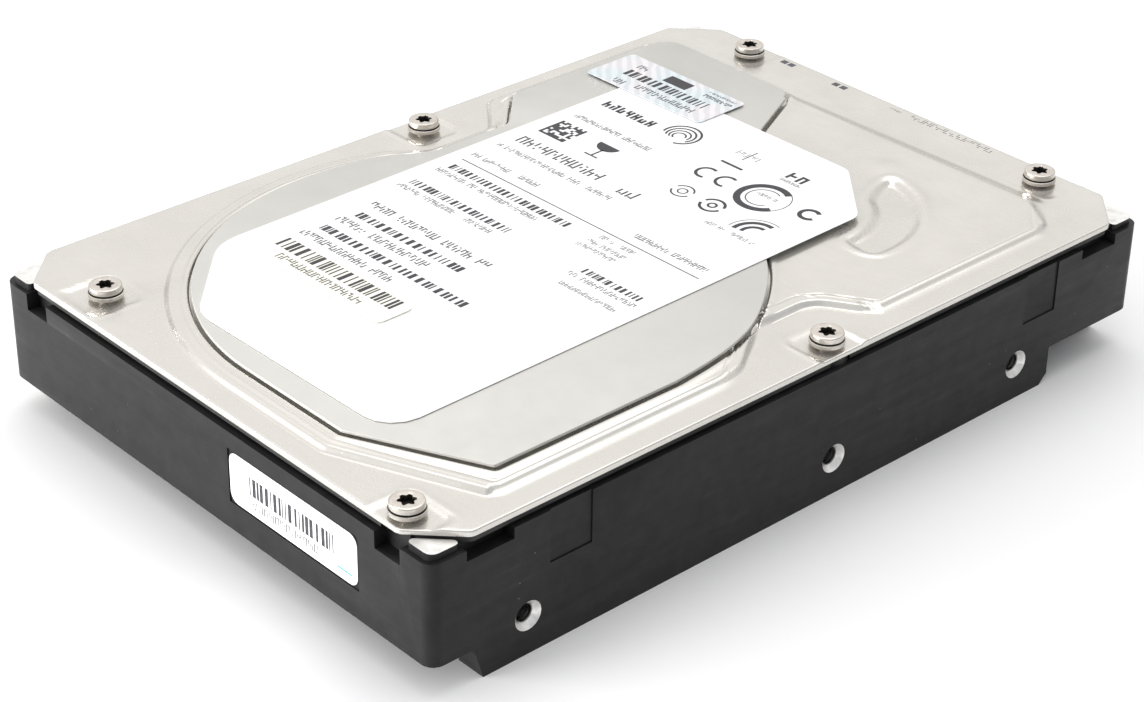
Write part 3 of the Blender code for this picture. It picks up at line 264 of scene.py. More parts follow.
def dome_path():
    """The raised area's plan: an arc about the spindle, then corners that step in round the middle screws."""
    side = HALF_WIDTH - 4.0 * MM
    radius = 46.3 * MM
    front, rear = SPINDLE[1] - radius, HALF_LENGTH - 9.5 * MM
    small, large, pocket = 1.2 * MM, 3.0 * MM, 9.5 * MM
    left, right = SCREW_CENTRES[1], SCREW_CENTRES[4]
    bowl = arc(SPINDLE, radius, 158.0, 270.0, 61)
    corners = [
        (SPINDLE[0] + 22.5 * MM, front, small * 2), (side, front + 10.5 * MM, large),
        (side, SPINDLE[1] + 9.0 * MM, 8 * MM),
        (right[0] - pocket, right[1] - 4.5 * MM, 5 * MM), (right[0] - pocket, right[1] + 6.5 * MM, 5 * MM),
        (side, right[1] + 12.5 * MM, small), (side, rear - 9.0 * MM, large), (side - 8.0 * MM, rear, large),
        (-side + 6.0 * MM, rear - 2.5 * MM, small), (-side, rear - 7.5 * MM, small),
        (-side, left[1] + 14.5 * MM, small),
        (left[0] + pocket - 2.0 * MM, left[1] + 8.0 * MM, 4 * MM),
        (left[0] + pocket - 2.0 * MM, left[1] - 5.0 * MM, 4 * MM),
    ]
    rest = rounded_path([(*bowl[-1], 0.0)] + corners + [(*bowl[0], 0.0)])
    return np.concatenate([rest, bowl[1:-1]])


def crescent_path():
    """The pressed crescent beside the actuator's pivot: two arcs about their own centres, joined by round ends."""
    outer = arc(PIVOT + np.array([1.7, -1.5]) * MM, 18.2 * MM, -15.0, 88.0, 61)
    inner = arc(PIVOT + np.array([-0.6, -3.9]) * MM, 14.4 * MM, 64.0, -6.0, 61)
    path = np.concatenate([outer, inner])
    for _ in range(10):
        path = 0.25 * np.roll(path, 1, 0) + 0.5 * path + 0.25 * np.roll(path, -1, 0)
    return path


def damper_path():
    """The damping plate's plan: an arc about the spindle, straight runs on the right, and up the left side."""
    radius = 42.4 * MM
    right, front = SPINDLE[0] + 42.2 * MM, SPINDLE[1] - radius
    side, rear = HALF_WIDTH - 6.3 * MM, HALF_LENGTH - 13.4 * MM
    left = SCREW_CENTRES[1]
    bowl = arc(SPINDLE, radius, 163.0, 270.0, 91)
    shoulder = np.array([
        (42.3, 1.3), (41.6, 8.0), (40.4, 14.5), (37.9, 21.6),
        (31.5, 30.8), (25.0, 37.3), (14.0, 44.0), (4.0, 51.0),
    ]) * MM + SPINDLE
    for _ in range(3):
        middle = 0.25 * shoulder[:-1] + 0.75 * shoulder[1:]
        start = 0.75 * shoulder[:-1] + 0.25 * shoulder[1:]
        inner = np.stack([start, middle], 1).reshape(-1, 2)
        shoulder = np.concatenate([shoulder[:1], inner, shoulder[-1:]])
    tip = np.array([(-4.0 * MM, rear - 20.0 * MM), (-7.5 * MM, rear - 13.5 * MM), (-13.0 * MM, rear - 2.2 * MM)])
    end = arc((-16.5 * MM, rear - 3.0 * MM), 3.0 * MM, 20.0, 90.0, 13)
    back = rounded_path([
        (*end[-1], 0.0), (-side, rear, 4.0 * MM), (-side, left[1] + 18.5 * MM, 2.0 * MM),
        (left[0] + 9.8 * MM, left[1] + 10.5 * MM, 4.0 * MM), (left[0] + 9.8 * MM, left[1] - 5.5 * MM, 4.0 * MM),
        (*bowl[0], 0.0),
    ])[1:]
    corner = rounded_path([
        (*bowl[-1], 0.0), (SPINDLE[0] + 21.8 * MM, front, 0.4 * MM), (right, front + 10.0 * MM, 0.5 * MM),
        (*shoulder[0], 0.0),
    ], 4)
    return np.concatenate([bowl[:-1], corner, shoulder[1:], tip, end, back[:-1]])


# ------------------------------------------------------------ the cover

COVER_MIDDLE = np.array([2.0, -4.0]) * MM
CRESCENT_BUMP = np.array([15.0, 52.0]) * MM
SEAT_HALF = (4.9 * MM, 4.6 * MM)


def ray_reach(path, angles):
    """How far each ray from the cover's middle runs to a closed path, from the crossing of ray and side."""
    ray = np.stack([np.cos(angles), np.sin(angles)], -1)[:, None]
    a = path - COVER_MIDDLE
    side = np.roll(a, -1, 0) - a
    across = ray[..., 0] * side[:, 1] - ray[..., 1] * side[:, 0]
    across = np.where(np.abs(across) < 1e-15, 1e-15, across)
    reach = (a[:, 0] * side[:, 1] - a[:, 1] * side[:, 0]) / across
    along = (a[:, 0] * ray[..., 1] - a[:, 1] * ray[..., 0]) / across
    hit = (along >= -1e-9) & (along <= 1 + 1e-9) & (reach > 0)
    return np.where(hit, reach, 0).max(1)


def level_reach(path, angles, level):
    """The distance along each ray where the signed distance to a path equals a level, by halving."""
    middle = ray_reach(path, angles)
    low, high = middle - 5 * MM, middle + 5 * MM
    for _ in range(16):
        half = (low + high) / 2
        point = COVER_MIDDLE + half[:, None] * np.stack([np.cos(angles), np.sin(angles)], -1)
        outside = path_distance(point, path) > level
        low, high = np.where(outside, low, half), np.where(outside, half, high)
    return (low + high) / 2


def rectangle_distance(points, centre, half, radius):
    """Signed distance to a rectangle with rounded corners."""
    q = np.abs(points - centre) - (np.array(half) - radius)
    return np.hypot(*np.maximum(q, 0).T) + np.minimum(q.max(1), 0) - radius


def cover_height(points, details=True):
    """Height of the pressed sheet: flange plus a smooth step up to the dome, then its pressed details.

    Each detail is a smooth step or a bell curve of the distance to an outline: a groove and a ridge inside the
    dome's edge, a moat and a shoulder round the plate, the crescent with its rim and bump, and the screw seats.
    """
    x, y = points.T
    dome = path_distance(points, dome_path())
    gentle = smooth_step(x - 0.9 * np.abs(y + 58 * MM) * (y < -58 * MM), 44.0 * MM, 46.0 * MM)
    gentle = np.maximum(gentle, smooth_step(y, 56.0 * MM, 62.0 * MM))
    height = FLANGE_Z + (DOME_Z - FLANGE_Z) * smooth_step(-dome, -0.3 * MM, (0.7 + 3.0 * gentle) * MM)
    if not details:
        return height
    height -= 0.10 * MM * np.exp(-((dome + 2.35 * MM) / (0.16 * MM)) ** 2) * (1 - gentle)
    height += 0.07 * MM * np.exp(-((dome + 1.95 * MM) / (0.22 * MM)) ** 2) * (1 - gentle)
    damper = path_distance(points, damper_path())
    height -= 0.38 * MM * smooth_step(-np.abs(damper + 0.05 * MM), -0.75 * MM, -0.35 * MM)
    shoulder = smooth_step(damper, 0.3 * MM, 0.6 * MM) * (1 - smooth_step(damper, 0.9 * MM, 2.2 * MM))
    height += 0.26 * MM * shoulder
    moon = path_distance(points, crescent_path())
    height -= 0.8 * MM * smooth_step(-moon, -0.4 * MM, 0.9 * MM)
    height += 0.20 * MM * np.exp(-((moon - 1.1 * MM) / (0.7 * MM)) ** 2)
    bump = np.hypot(*(points - CRESCENT_BUMP).T)
    height += 0.34 * MM * np.exp(-(bump / (3.0 * MM)) ** 2)
    for place in SCREW_CENTRES:
        middle = abs(place[1]) < 20 * MM
        away = np.array([np.sign(place[0]), 0 if middle else np.sign(place[1])])
        seat = rectangle_distance(points, place + away * 0.6 * MM, SEAT_HALF, 1.6 * MM)
        depth = 0.08 if place[1] > 20 * MM else 0.26
        height -= depth * MM * smooth_step(-seat, -0.1 * MM, 0.7 * MM)
        height += 0.3 * depth * MM * np.exp(-((seat - 0.45 * MM) / (0.35 * MM)) ** 2)
    return height


def cover_angles():
    """Ray directions: even steps, with closer ones towards each screw and across the crescent."""
    even = np.linspace(-np.pi, np.pi, 400, endpoint=False)
    parts = [even]
    for place in SCREW_CENTRES:
        toward = np.arctan2(*(place - COVER_MIDDLE)[::-1])
        parts.append(toward + np.radians(np.linspace(-6, 6, 24)))
    parts.append(np.radians(np.linspace(20.0, 78.0, 130)))
    for path in (cover_path(), dome_path(), damper_path()):
        offset = path - COVER_MIDDLE
        turn = np.abs(np.cross(np.roll(offset, -1, 0) - offset, offset - np.roll(offset, 1, 0)))
        parts.append(np.arctan2(offset[:, 1], offset[:, 0])[turn > 2e-8])
    every = np.sort((np.concatenate(parts) + np.pi) % (2 * np.pi) - np.pi)
    return every[np.r_[True, np.diff(every) > 7e-4]]


def cover_surface():
    """The pressed cover: rings shrink from its edge to its middle, along the dome's and the plate's outlines."""
    angles = cover_angles()
    ray = np.stack([np.cos(angles), np.sin(angles)], -1)
    edge, dome, damper = cover_path(), dome_path(), damper_path()
    rims = [level_reach(edge, angles, -inset * MM) for inset in (0.0, 0.05, 0.15, 0.35)]
    drops = [0.28 * MM, 0.1 * MM, 0.02 * MM, 0.0]
    steps = [0.55, 0.35, 0.2, 0.0, -0.15, -0.3, -0.45, -0.6, -0.8, -1.1, -1.5, -1.95, -2.15, -2.35, -2.55, -2.8]
    ledge = [level_reach(dome, angles, level * MM) for level in steps]
    gaps = [1.25, 1.05, 0.9, 0.75, 0.55, 0.35, 0.15, -0.3, -0.8]
    moat = [level_reach(damper, angles, level * MM) for level in gaps]
    moat = [np.minimum(reach, ledge[-1] - 0.03 * MM * (i + 1)) for i, reach in enumerate(moat)]
    flange = [rims[-1] + (ledge[0] - rims[-1]) * t for t in np.linspace(0, 1, 18)[1:-1]]
    deck = [ledge[-1] + (moat[0] - ledge[-1]) * t for t in np.linspace(0, 1, 56)[1:-1]]
    middle = [moat[-1] * t for t in (0.75, 0.4, 0.1, 0.004)]
    top = rims + flange + ledge + deck + moat + middle
    rings = []
    for i, reach in enumerate(top):
        place = COVER_MIDDLE + reach[:, None] * ray
        height = cover_height(place) - (drops[i] if i < len(drops) else 0.0)
        rings.append(np.c_[place, height])
    under = []
    for reach in [moat[-1] * 0.004, ledge[-1], ledge[8], ledge[2], rims[-1], rims[0]]:
        place = COVER_MIDDLE + reach[:, None] * ray
        under.append(np.c_[place, cover_height(place, details=False) - SHEET])
    rings = under[::-1][:1] + rings + under
    count = len(angles)
    faces = grid_faces(len(rings), count, True)
    thing = new_object("cover_sheet", np.concatenate(rings).tolist(), faces)
    fix_outside(thing)
    thing.data.set_sharp_from_angle(angle=np.radians(55))
    return thing


# -------------------------------------------------------------- finishes

class Finish:
    """A node material on Object coordinates: shader sockets, noise, masks, mixes and bump in short calls."""

    def __init__(self, name, colour, metallic=0.0, roughness=0.5, level=0.5):
        self.material = bpy.data.materials.new(name)
        self.material.use_nodes = True
        self.nodes = self.material.node_tree.nodes
        self.links = self.material.node_tree.links
        self.shader = self.nodes["Principled BSDF"]
        self.shader.inputs["Base Color"].default_value = (*colour[:3], 1.0)
        self.shader.inputs["Metallic"].default_value = metallic
        self.shader.inputs["Roughness"].default_value = roughness
        self.shader.inputs["Specular IOR Level"].default_value = level
        self.place = self.nodes.new("ShaderNodeTexCoord").outputs["Object"]
        self.normal = None

    def put(self, socket, value):
        if isinstance(value, bpy.types.NodeSocket):
            self.links.new(value, socket)
        else:
            socket.default_value = value

    def math(self, kind, *values):
        node = self.nodes.new("ShaderNodeMath")
        node.operation = kind
        for socket, value in zip(node.inputs, values):
            self.put(socket, value)
        return node.outputs[0]

    def split(self, vector=None):
        node = self.nodes.new("ShaderNodeSeparateXYZ")
        self.put(node.inputs[0], vector or self.place)
        return node.outputs

    def stretched(self, scale, turn=(0.0, 0.0, 0.0), shift=(0.0, 0.0, 0.0)):
        node = self.nodes.new("ShaderNodeMapping")
        self.put(node.inputs["Vector"], self.place)
        node.inputs["Scale"].default_value = scale
        node.inputs["Rotation"].default_value = turn
        node.inputs["Location"].default_value = shift
        return node.outputs[0]

    def noise(self, size, detail=3.0, vector=None, rough=0.55):
        """Cloudy noise whose features are about size metres across."""
        node = self.nodes.new("ShaderNodeTexNoise")
        self.put(node.inputs["Vector"], vector or self.place)
        node.inputs["Scale"].default_value = 1.0 / size
        node.inputs["Detail"].default_value = detail
        node.inputs["Roughness"].default_value = rough
        return node.outputs["Fac"]

    def cells(self, size, vector=None, feature="F1"):
        """Cell noise whose cells are about size metres across."""
        node = self.nodes.new("ShaderNodeTexVoronoi")
        node.feature = feature
        self.put(node.inputs["Vector"], vector or self.place)
        node.inputs["Scale"].default_value = 1.0 / size
        return node.outputs["Distance"]

    def remap(self, value, low, high, to_low=0.0, to_high=1.0):
        node = self.nodes.new("ShaderNodeMapRange")
        for socket, number in zip(node.inputs, (value, low, high, to_low, to_high)):
            self.put(socket, number)
        return node.outputs[0]

    def mix(self, factor, first, second):
        node = self.nodes.new("ShaderNodeMix")
        node.data_type = "RGBA"
        for index, value in ((0, factor), (6, first), (7, second)):
            if isinstance(value, tuple):
                value = (*value[:3], 1.0)
            self.put(node.inputs[index], value)
        return node.outputs[2]

    def colour(self, value):
        self.put(self.shader.inputs["Base Color"], value)

    def roughness(self, value):
        self.put(self.shader.inputs["Roughness"], value)

    def bump(self, height, distance, strength=1.0):
        node = self.nodes.new("ShaderNodeBump")
        node.inputs["Distance"].default_value = distance
        node.inputs["Strength"].default_value = strength
        self.put(node.inputs["Height"], height)
        if self.normal is not None:
            self.links.new(self.normal, node.inputs["Normal"])
        self.normal = node.outputs[0]
        self.put(self.shader.inputs["Normal"], self.normal)


def tint(colour, factor):
    return tuple(min(1.0, c * factor) for c in colour[:3])


def grained(name, colour, metallic, roughness, size, depth, spread=0.12, wear=0.08, level=0.5):
    """A plain finish with fine grain, slow colour drift and uneven gloss."""
    f = Finish(name, colour, metallic, roughness, level)
    drift = f.noise(size * 40, 4.0)
    f.colour(f.mix(f.remap(drift, 0.3, 0.7), tint(colour, 1 - spread), tint(colour, 1 + spread)))
    f.roughness(f.remap(f.noise(size * 9, 3.0), 0.3, 0.7, max(0.03, roughness - wear), roughness + wear))
    f.bump(f.noise(size, 2.0), depth, 0.6)
    return f.material


def cover_metal(colour, roughness):
    """Plated pressed sheet: faint rolling grain along X, hazy smudges and pinprick marks."""
    f = Finish("cover_metal_look", colour, 0.82, roughness)
    grain = f.noise(0.5 * MM, 3.0, f.stretched((0.06, 1.0, 1.0)))
    smudge = f.noise(14 * MM, 5.0, rough=0.62)
    specks = f.remap(f.cells(3.1 * MM), 0.02, 0.06, 1.0, 0.0)
    spare = f.remap(f.noise(5 * MM, 1.0), 0.56, 0.6)
    dark = f.math("MULTIPLY", specks, spare)
    base = f.mix(f.remap(smudge, 0.35, 0.68), tint(colour, 1.05), tint(colour, 0.93))
    base = f.mix(f.remap(grain, 0.3, 0.7, 0.0, 0.16), base, tint(colour, 0.84))
    f.colour(f.mix(f.math("MULTIPLY", dark, 0.35), base, tint(colour, 0.45)))
    rough = f.remap(smudge, 0.3, 0.7, roughness - 0.05, roughness + 0.09)
    f.roughness(f.math("ADD", rough, f.remap(grain, 0.3, 0.7, -0.03, 0.03)))
    f.bump(grain, 0.006 * MM, 0.5)
    f.bump(f.noise(22 * MM, 1.0), 0.05 * MM, 0.35)
    return f.material


def black_paint(colour, roughness):
    """Satin coating over a casting: fine orange-peel, dust flecks and a few rubbed streaks."""
    f = Finish("black_paint_look", colour, 0.0, roughness, 0.22)
    peel = f.noise(0.45 * MM, 3.0)
    cast = f.noise(3.2 * MM, 4.0)
    rub = f.noise(2.0 * MM, 4.0, f.stretched((0.12, 0.12, 1.4)))
    fleck = f.remap(f.cells(2.6 * MM), 0.02, 0.05, 1.0, 0.0)
    fleck = f.math("MULTIPLY", fleck, f.remap(f.noise(6 * MM, 1.0), 0.55, 0.6))
    base = f.mix(f.remap(cast, 0.3, 0.7), tint(colour, 0.75), tint(colour, 1.35))
    base = f.mix(f.remap(rub, 0.62, 0.8, 0.0, 0.35), base, tint(colour, 3.2))
    f.colour(f.mix(f.math("MULTIPLY", fleck, 0.5), base, (0.30, 0.29, 0.28)))
    f.roughness(f.remap(rub, 0.35, 0.75, roughness + 0.06, roughness - 0.10))
    f.bump(peel, 0.022 * MM, 0.55)
    f.bump(cast, 0.05 * MM, 0.25)
    return f.material


def machined_metal(name, colour, roughness, pitch):
    """Bare cut metal: fine parallel tool lines with a little dirt."""
    f = Finish(name, colour, 1.0, roughness)
    lines = f.noise(pitch, 2.0, f.stretched((1.0, 0.1, 1.0), (0.0, 0.0, 0.5)))
    dirt = f.noise(1.6 * MM, 4.0)
    f.colour(f.mix(f.remap(dirt, 0.45, 0.75), tint(colour, 1.0), tint(colour, 0.72)))
    f.roughness(f.remap(dirt, 0.3, 0.7, roughness - 0.06, roughness + 0.14))
    f.bump(lines, 0.008 * MM, 0.6)
    return f.material


def paper(name, colour, roughness=0.42, fibre=0.004):
    """Coated label paper: faint fibres, slight yellowing and a soft gloss that wanders."""
    f = Finish(name, colour, 0.0, roughness, 0.45)
    cloud = f.noise(16 * MM, 4.0)
    f.colour(f.mix(f.remap(cloud, 0.35, 0.7), tint(colour, 1.0), tint(colour, 0.975)))
    f.roughness(f.remap(f.noise(5 * MM, 3.0), 0.3, 0.7, roughness - 0.05, roughness + 0.07))
    f.bump(f.noise(0.35 * MM, 3.0), fibre * MM, 0.6)
    return f.material


def holographic_foil(colour):
    """Silvery security film: fine diagonal guilloche waves that shift between pale blue and pale rose."""
    f = Finish("asset_film_look", colour, 0.25, 0.32)
    wave = f.nodes.new("ShaderNodeTexWave")
    wave.bands_direction = "DIAGONAL"
    f.put(wave.inputs["Vector"], f.place)
    wave.inputs["Scale"].default_value = 260.0
    wave.inputs["Distortion"].default_value = 3.0
    wave.inputs["Detail"].default_value = 1.0
    patch = f.noise(7 * MM, 2.0)
    base = f.mix(f.remap(patch, 0.4, 0.6), tint(colour, 1.04), (0.80, 0.76, 0.78))
    f.colour(f.mix(f.remap(wave.outputs["Fac"], 0.3, 0.7, 0.0, 0.30), base, tint(colour, 0.62)))
    f.roughness(f.remap(patch, 0.3, 0.7, 0.26, 0.40))
    f.bump(wave.outputs["Fac"], 0.004 * MM, 0.4)
    return f.material


def ink(name, colour):
    """Thermal print: slightly uneven density."""
    f = Finish(name, colour, 0.0, 0.5, 0.35)
    density = f.noise(0.4 * MM, 3.0)
    f.colour(f.mix(f.remap(density, 0.45, 0.75), tint(colour, 1.0), tint(colour, 2.6)))
    f.roughness(f.remap(density, 0.3, 0.7, 0.42, 0.60))
    f.bump(density, 0.002 * MM, 0.5)
    return f.material


def board_mask(colour):
    """Circuit board lacquer: woven glass under green, with darker copper pours and fine parallel tracks."""
    f = Finish("board_green_look", colour, 0.0, 0.34, 0.5)
    x, y, _ = f.split()
    warp, weft = (f.math("SINE", f.math("MULTIPLY", along, 5200.0)) for along in (x, y))
    weave = f.math("MULTIPLY", warp, weft)
    pour = f.remap(f.cells(13 * MM, feature="DISTANCE_TO_EDGE"), 0.035, 0.045)
    tracks = f.remap(f.math("SINE", f.math("MULTIPLY", x, 6200.0)), 0.1, 0.3)
    zone = f.remap(f.noise(17 * MM, 1.0), 0.52, 0.54)
    copper = f.math("MAXIMUM", f.math("MULTIPLY", tracks, zone), pour)
    base = f.mix(copper, tint(colour, 0.85), tint(colour, 1.12))
    f.colour(f.mix(f.remap(weave, -1.0, 1.0, 0.0, 0.18), base, tint(colour, 0.7)))
    f.roughness(f.remap(f.noise(8 * MM, 3.0), 0.3, 0.7, 0.27, 0.42))
    f.bump(copper, 0.03 * MM, 0.7)
    f.bump(weave, 0.004 * MM, 0.4)
    return f.material


def disc_mirror(colour):
    """A polished recording surface: almost a mirror, with circular haze about the spindle."""
    f = Finish("disc_mirror_look", colour, 1.0, 0.05)
    offset = f.nodes.new("ShaderNodeVectorMath")
    offset.operation = "SUBTRACT"
    f.put(offset.inputs[0], f.place)
    offset.inputs[1].default_value = (SPINDLE[0], SPINDLE[1], 0.0)
    x, y, _ = f.split(offset.outputs[0])
    reach = f.math("SQRT", f.math("ADD", f.math("MULTIPLY", x, x), f.math("MULTIPLY", y, y)))
    band = f.math("SINE", f.math("MULTIPLY", reach, 2600.0))
    f.colour(f.mix(f.remap(band, -1.0, 1.0, 0.0, 0.2), tint(colour, 1.0), tint(colour, 0.9)))
    f.roughness(f.remap(f.noise(9 * MM, 3.0), 0.3, 0.7, 0.03, 0.08))
    f.bump(band, 0.0006 * MM, 0.3)
    return f.material


def wound_copper(colour):
    """Enamelled wire laid side by side about the actuator's pivot."""
    f = Finish("copper_wire_look", colour, 0.9, 0.3)
    strands = f.noise(0.22 * MM, 1.0, f.stretched((1.0, 1.0, 0.35)))
    f.colour(f.mix(f.remap(strands, 0.35, 0.65), tint(colour, 0.7), tint(colour, 1.1)))
    f.roughness(f.remap(strands, 0.3, 0.7, 0.24, 0.38))
    f.bump(strands, 0.04 * MM, 0.9)
    return f.material


def floor_paint(colour):
    """A plain pale sweep with the faintest unevenness."""
    f = Finish("studio_floor_look", colour, 0.0, 0.75, 0.2)
    cloud = f.noise(60 * MM, 3.0)
    f.colour(f.mix(f.remap(cloud, 0.3, 0.7), tint(colour, 1.0), tint(colour, 0.985)))
    f.roughness(f.remap(cloud, 0.3, 0.7, 0.7, 0.8))
    f.bump(f.noise(1.2 * MM, 2.0), 0.01 * MM, 0.3)
    return f.material


# ------------------------------------------------------------ CAD pieces

def dress(nodes, look):
    """Gives CAD nodes one finish in all their material slots."""
    for name in nodes:
        mesh = NODES[name].data
        if not mesh.materials:
            mesh.materials.append(look)
        for i in range(len(mesh.materials)):
            mesh.materials[i] = look


def face_values(mesh, key):
    """One vector for each face, such as its center or its normal, as rows."""
    values = np.empty(len(mesh.polygons) * 3)
    mesh.polygons.foreach_get(key, values)
    return values.reshape(-1, 3)


def softened_copy(node, name, looks, choose, width, angle):
    """A merged copy of a CAD node with rounded edges; choose picks a finish from face centres and normals."""
    thing = bpy.data.objects.new(name, NODES[node].data.copy())
    bpy.context.scene.collection.objects.link(thing)
    shape = bmesh.new()
    shape.from_mesh(thing.data)
    bmesh.ops.remove_doubles(shape, verts=shape.verts, dist=1e-6)
    bmesh.ops.dissolve_limit(shape, angle_limit=np.radians(0.6), verts=shape.verts, edges=shape.edges)
    shape.to_mesh(thing.data)
    shape.free()
    mesh = thing.data
    mesh.materials.clear()
    for look in looks:
        mesh.materials.append(look)
    picks = choose(face_values(mesh, "center"), face_values(mesh, "normal")).astype(np.int32)
    mesh.polygons.foreach_set("material_index", picks)
    mesh.shade_smooth()
    mesh.set_sharp_from_angle(angle=np.radians(angle))
    bevel = thing.modifiers.new("edges", "BEVEL")
    bevel.width = width
    bevel.segments = 2
    bevel.limit_method = "ANGLE"
    bevel.angle_limit = np.radians(angle)
    bevel.harden_normals = True
    return thing


def one_finish(centres, normals):
    return np.zeros(len(centres))


def paint_or_metal(centres, normals):
    """Paint everywhere, bare metal on the raised lands and the hole mouths, and near-black metal in the bores as
    painted shade.
    """
    x, y, z = centres.T
    picks = np.zeros(len(centres))
    picks[(z > 22.7 * MM) & (normals[:, 2] > 0.9)] = 1
    for side in (-1, 1):
        for step in SIDE_HOLE_STEPS:
            reach = np.hypot(y - (HALF_LENGTH - FIRST_HOLE_INSET - step), z - SIDE_HOLE_HEIGHT)
            near = (x * side > HALF_WIDTH - 4.2 * MM) & (reach < HOLE_MOUTH) & (np.abs(normals[:, 0]) < 0.95)
            picks[near] = 1
            # Faces deeper in a side hole take the third look, the painted shade of the bore.
            picks[near & (x * side < HALF_WIDTH - 1.0 * MM)] = 2
        for inset in BOTTOM_HOLE_INSETS:
            reach = np.hypot(x - side * (HALF_WIDTH - BOTTOM_HOLE_SIDE_INSET), y - (HALF_LENGTH - inset))
            near = (z < 4.2 * MM) & (reach < HOLE_MOUTH) & (np.abs(normals[:, 2]) < 0.95)
            picks[near] = 1
            # Faces deeper in a bottom hole take the third look, the painted shade of the bore.
            picks[near & (z > 1.0 * MM)] = 2
    return picks


def finish_piece(thing, look, body, slot, *nodes):
    """Puts a finish on a new piece, lets it ride a body, and hides the CAD nodes it stands in for."""
    if look is not None:
        thing.data.materials.append(look)
    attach(thing, body)
    if nodes:
        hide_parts(*nodes)
    return thing


# ------------------------------------------------------------- print marks

class Marks:
    """Collects small printed boxes on one sheet, from plain layout numbers in millimetres."""

    def __init__(self, seed):
        self.random = np.random.RandomState(seed)
        self.spans = []

    def bar(self, x0, x1, y0, y1):
        self.spans.append((x0, x1, y0, y1))

    def barcode(self, x0, x1, y, height, module=0.21):
        """Upright bars one to three modules wide with gaps of one to three modules, from a seeded draw."""
        count = int((x1 - x0) / module)
        widths = self.random.randint(1, 4, count)
        edges = x0 + np.cumsum(widths) * module
        for start, end in zip(edges[::2], edges[1::2]):
            if end > x1:
                break
            self.bar(start, end, y - height / 2, y + height / 2)

    def line(self, x0, x1, y, height, weight=0.24, aspect=0.68, gap_chance=0.14):
        """A row of made-up strokes: each cell holds two uprights of drawn lengths and a loose dash between them."""
        cell = height * aspect
        stroke = height * weight
        for x in np.arange(x0, x1 - cell * 0.6, cell):
            if self.random.rand() < gap_chance:
                continue
            tops = y + height * self.random.choice([0.5, 0.5, 0.15], 2)
            lows = y - height * self.random.choice([0.5, 0.5, 0.1], 2)
            right = x + cell * 0.76 - stroke * 0.7
            self.bar(x, x + stroke * 0.7, min(lows[0], y), max(tops[0], y))
            self.bar(right, right + stroke * 0.7, min(lows[1], y), max(tops[1], y))
            level = y + height * self.random.choice([-0.38, 0.0, 0.38])
            self.bar(x + cell * 0.26, x + cell * 0.52, level - stroke * 0.35, level + stroke * 0.35)

    def block_code(self, x0, y0, size, cells):
        """A square of random filled cells inside a frame."""
        step = size / cells
        filled = self.random.rand(cells, cells) > 0.5
        filled[0, :] = filled[:, 0] = True
        for row, column in zip(*np.nonzero(filled)):
            self.bar(x0 + column * step, x0 + (column + 1) * step, y0 + row * step, y0 + (row + 1) * step)


def printed(name, marks, low, high, tilt_centre=None, tilt=0.0):
    """Stacks a layout between two heights and tilts it with its label."""
    rows = np.array(marks.spans) * MM
    spans = np.c_[rows, np.full(len(rows), low), np.full(len(rows), high)]
    thing = boxes(name, spans)
    if tilt_centre is not None:
        points = np.empty(len(thing.data.vertices) * 3)
        thing.data.vertices.foreach_get("co", points)
        points = points.reshape(-1, 3)
        points[:, :2] = turn_path(points[:, :2], tilt, tilt_centre)
        thing.data.vertices.foreach_set("co", points.ravel())
        thing.data.update()
    return thing


def printed_rings(name, rings, low, high, tilt_centre, tilt):
    """Flat rings and arcs: each (x, y, inner, outer, start, end) row swept through its angle between two heights."""
    points, faces = [], []
    count = 33
    for x, y, inner, outer, start, end in rings:
        centre = turn_path(np.array([[x, y]]) * MM, tilt, tilt_centre)[0]
        inside, outside = (arc(centre, r * MM, start, end, count) for r in (inner, outer))
        base = len(points)
        for path, z in ((outside, low), (outside, high), (inside, high), (inside, low)):
            points.extend(np.c_[path, np.full(count, z)].tolist())
        band = np.arange(count - 1)
        for a in range(4):
            near, far = base + a * count + band, base + (a + 1) % 4 * count + band
            faces.extend(np.stack([near, near + 1, far + 1, far], -1).tolist())
        if abs(end - start) < 359.9:
            for k, order in ((0, (0, 1, 2, 3)), (count - 1, (3, 2, 1, 0))):
                faces.append([base + a * count + k for a in order])
    thing = new_object(name, points, faces, smooth=False)
    fix_outside(thing)
    return thing


# ---------------------------------------------------------------- settings

def tone(name, description, default):
    return bpy.props.FloatVectorProperty(
        name=name, description=description, default=default, size=3, min=0.0, max=1.0, subtype="COLOR",
    )


def length(name, description, default):
    return bpy.props.FloatProperty(name=name, description=description, default=default, min=0.0, unit="LENGTH")


def share(name, description, default):
    return bpy.props.FloatProperty(
        name=name, description=description, default=default, min=0.0, max=1.0, subtype="FACTOR",
    )


def plain(name, description, default, **more):
    return bpy.props.FloatProperty(name=name, description=description, default=default, min=0.0, **more)


class CoverSettings(bpy.types.PropertyGroup):
    """The pressed cover, the plate glued on it and its screws."""
    metal: tone("Cover metal", "Plated sheet of the cover", (0.68, 0.66, 0.62))
    plate: tone("Plate metal", "Damping plate glued on the dome", (0.58, 0.57, 0.54))
    screw: tone("Screw metal", "Nickel of the cover screws", (0.66, 0.62, 0.57))
    gloss: share("Roughness", "Roughness of the cover's sheet", 0.24)
    plate_edge: length("Plate edge", "Rounding of the damping plate's upper edge", 0.12 * MM)
    recess_radius: length("Recess radius", "Radius of the six-lobed driver recess", 1.15 * MM)
    recess_depth: length("Recess depth", "Depth of the six-lobed driver recess", 1.0 * MM)


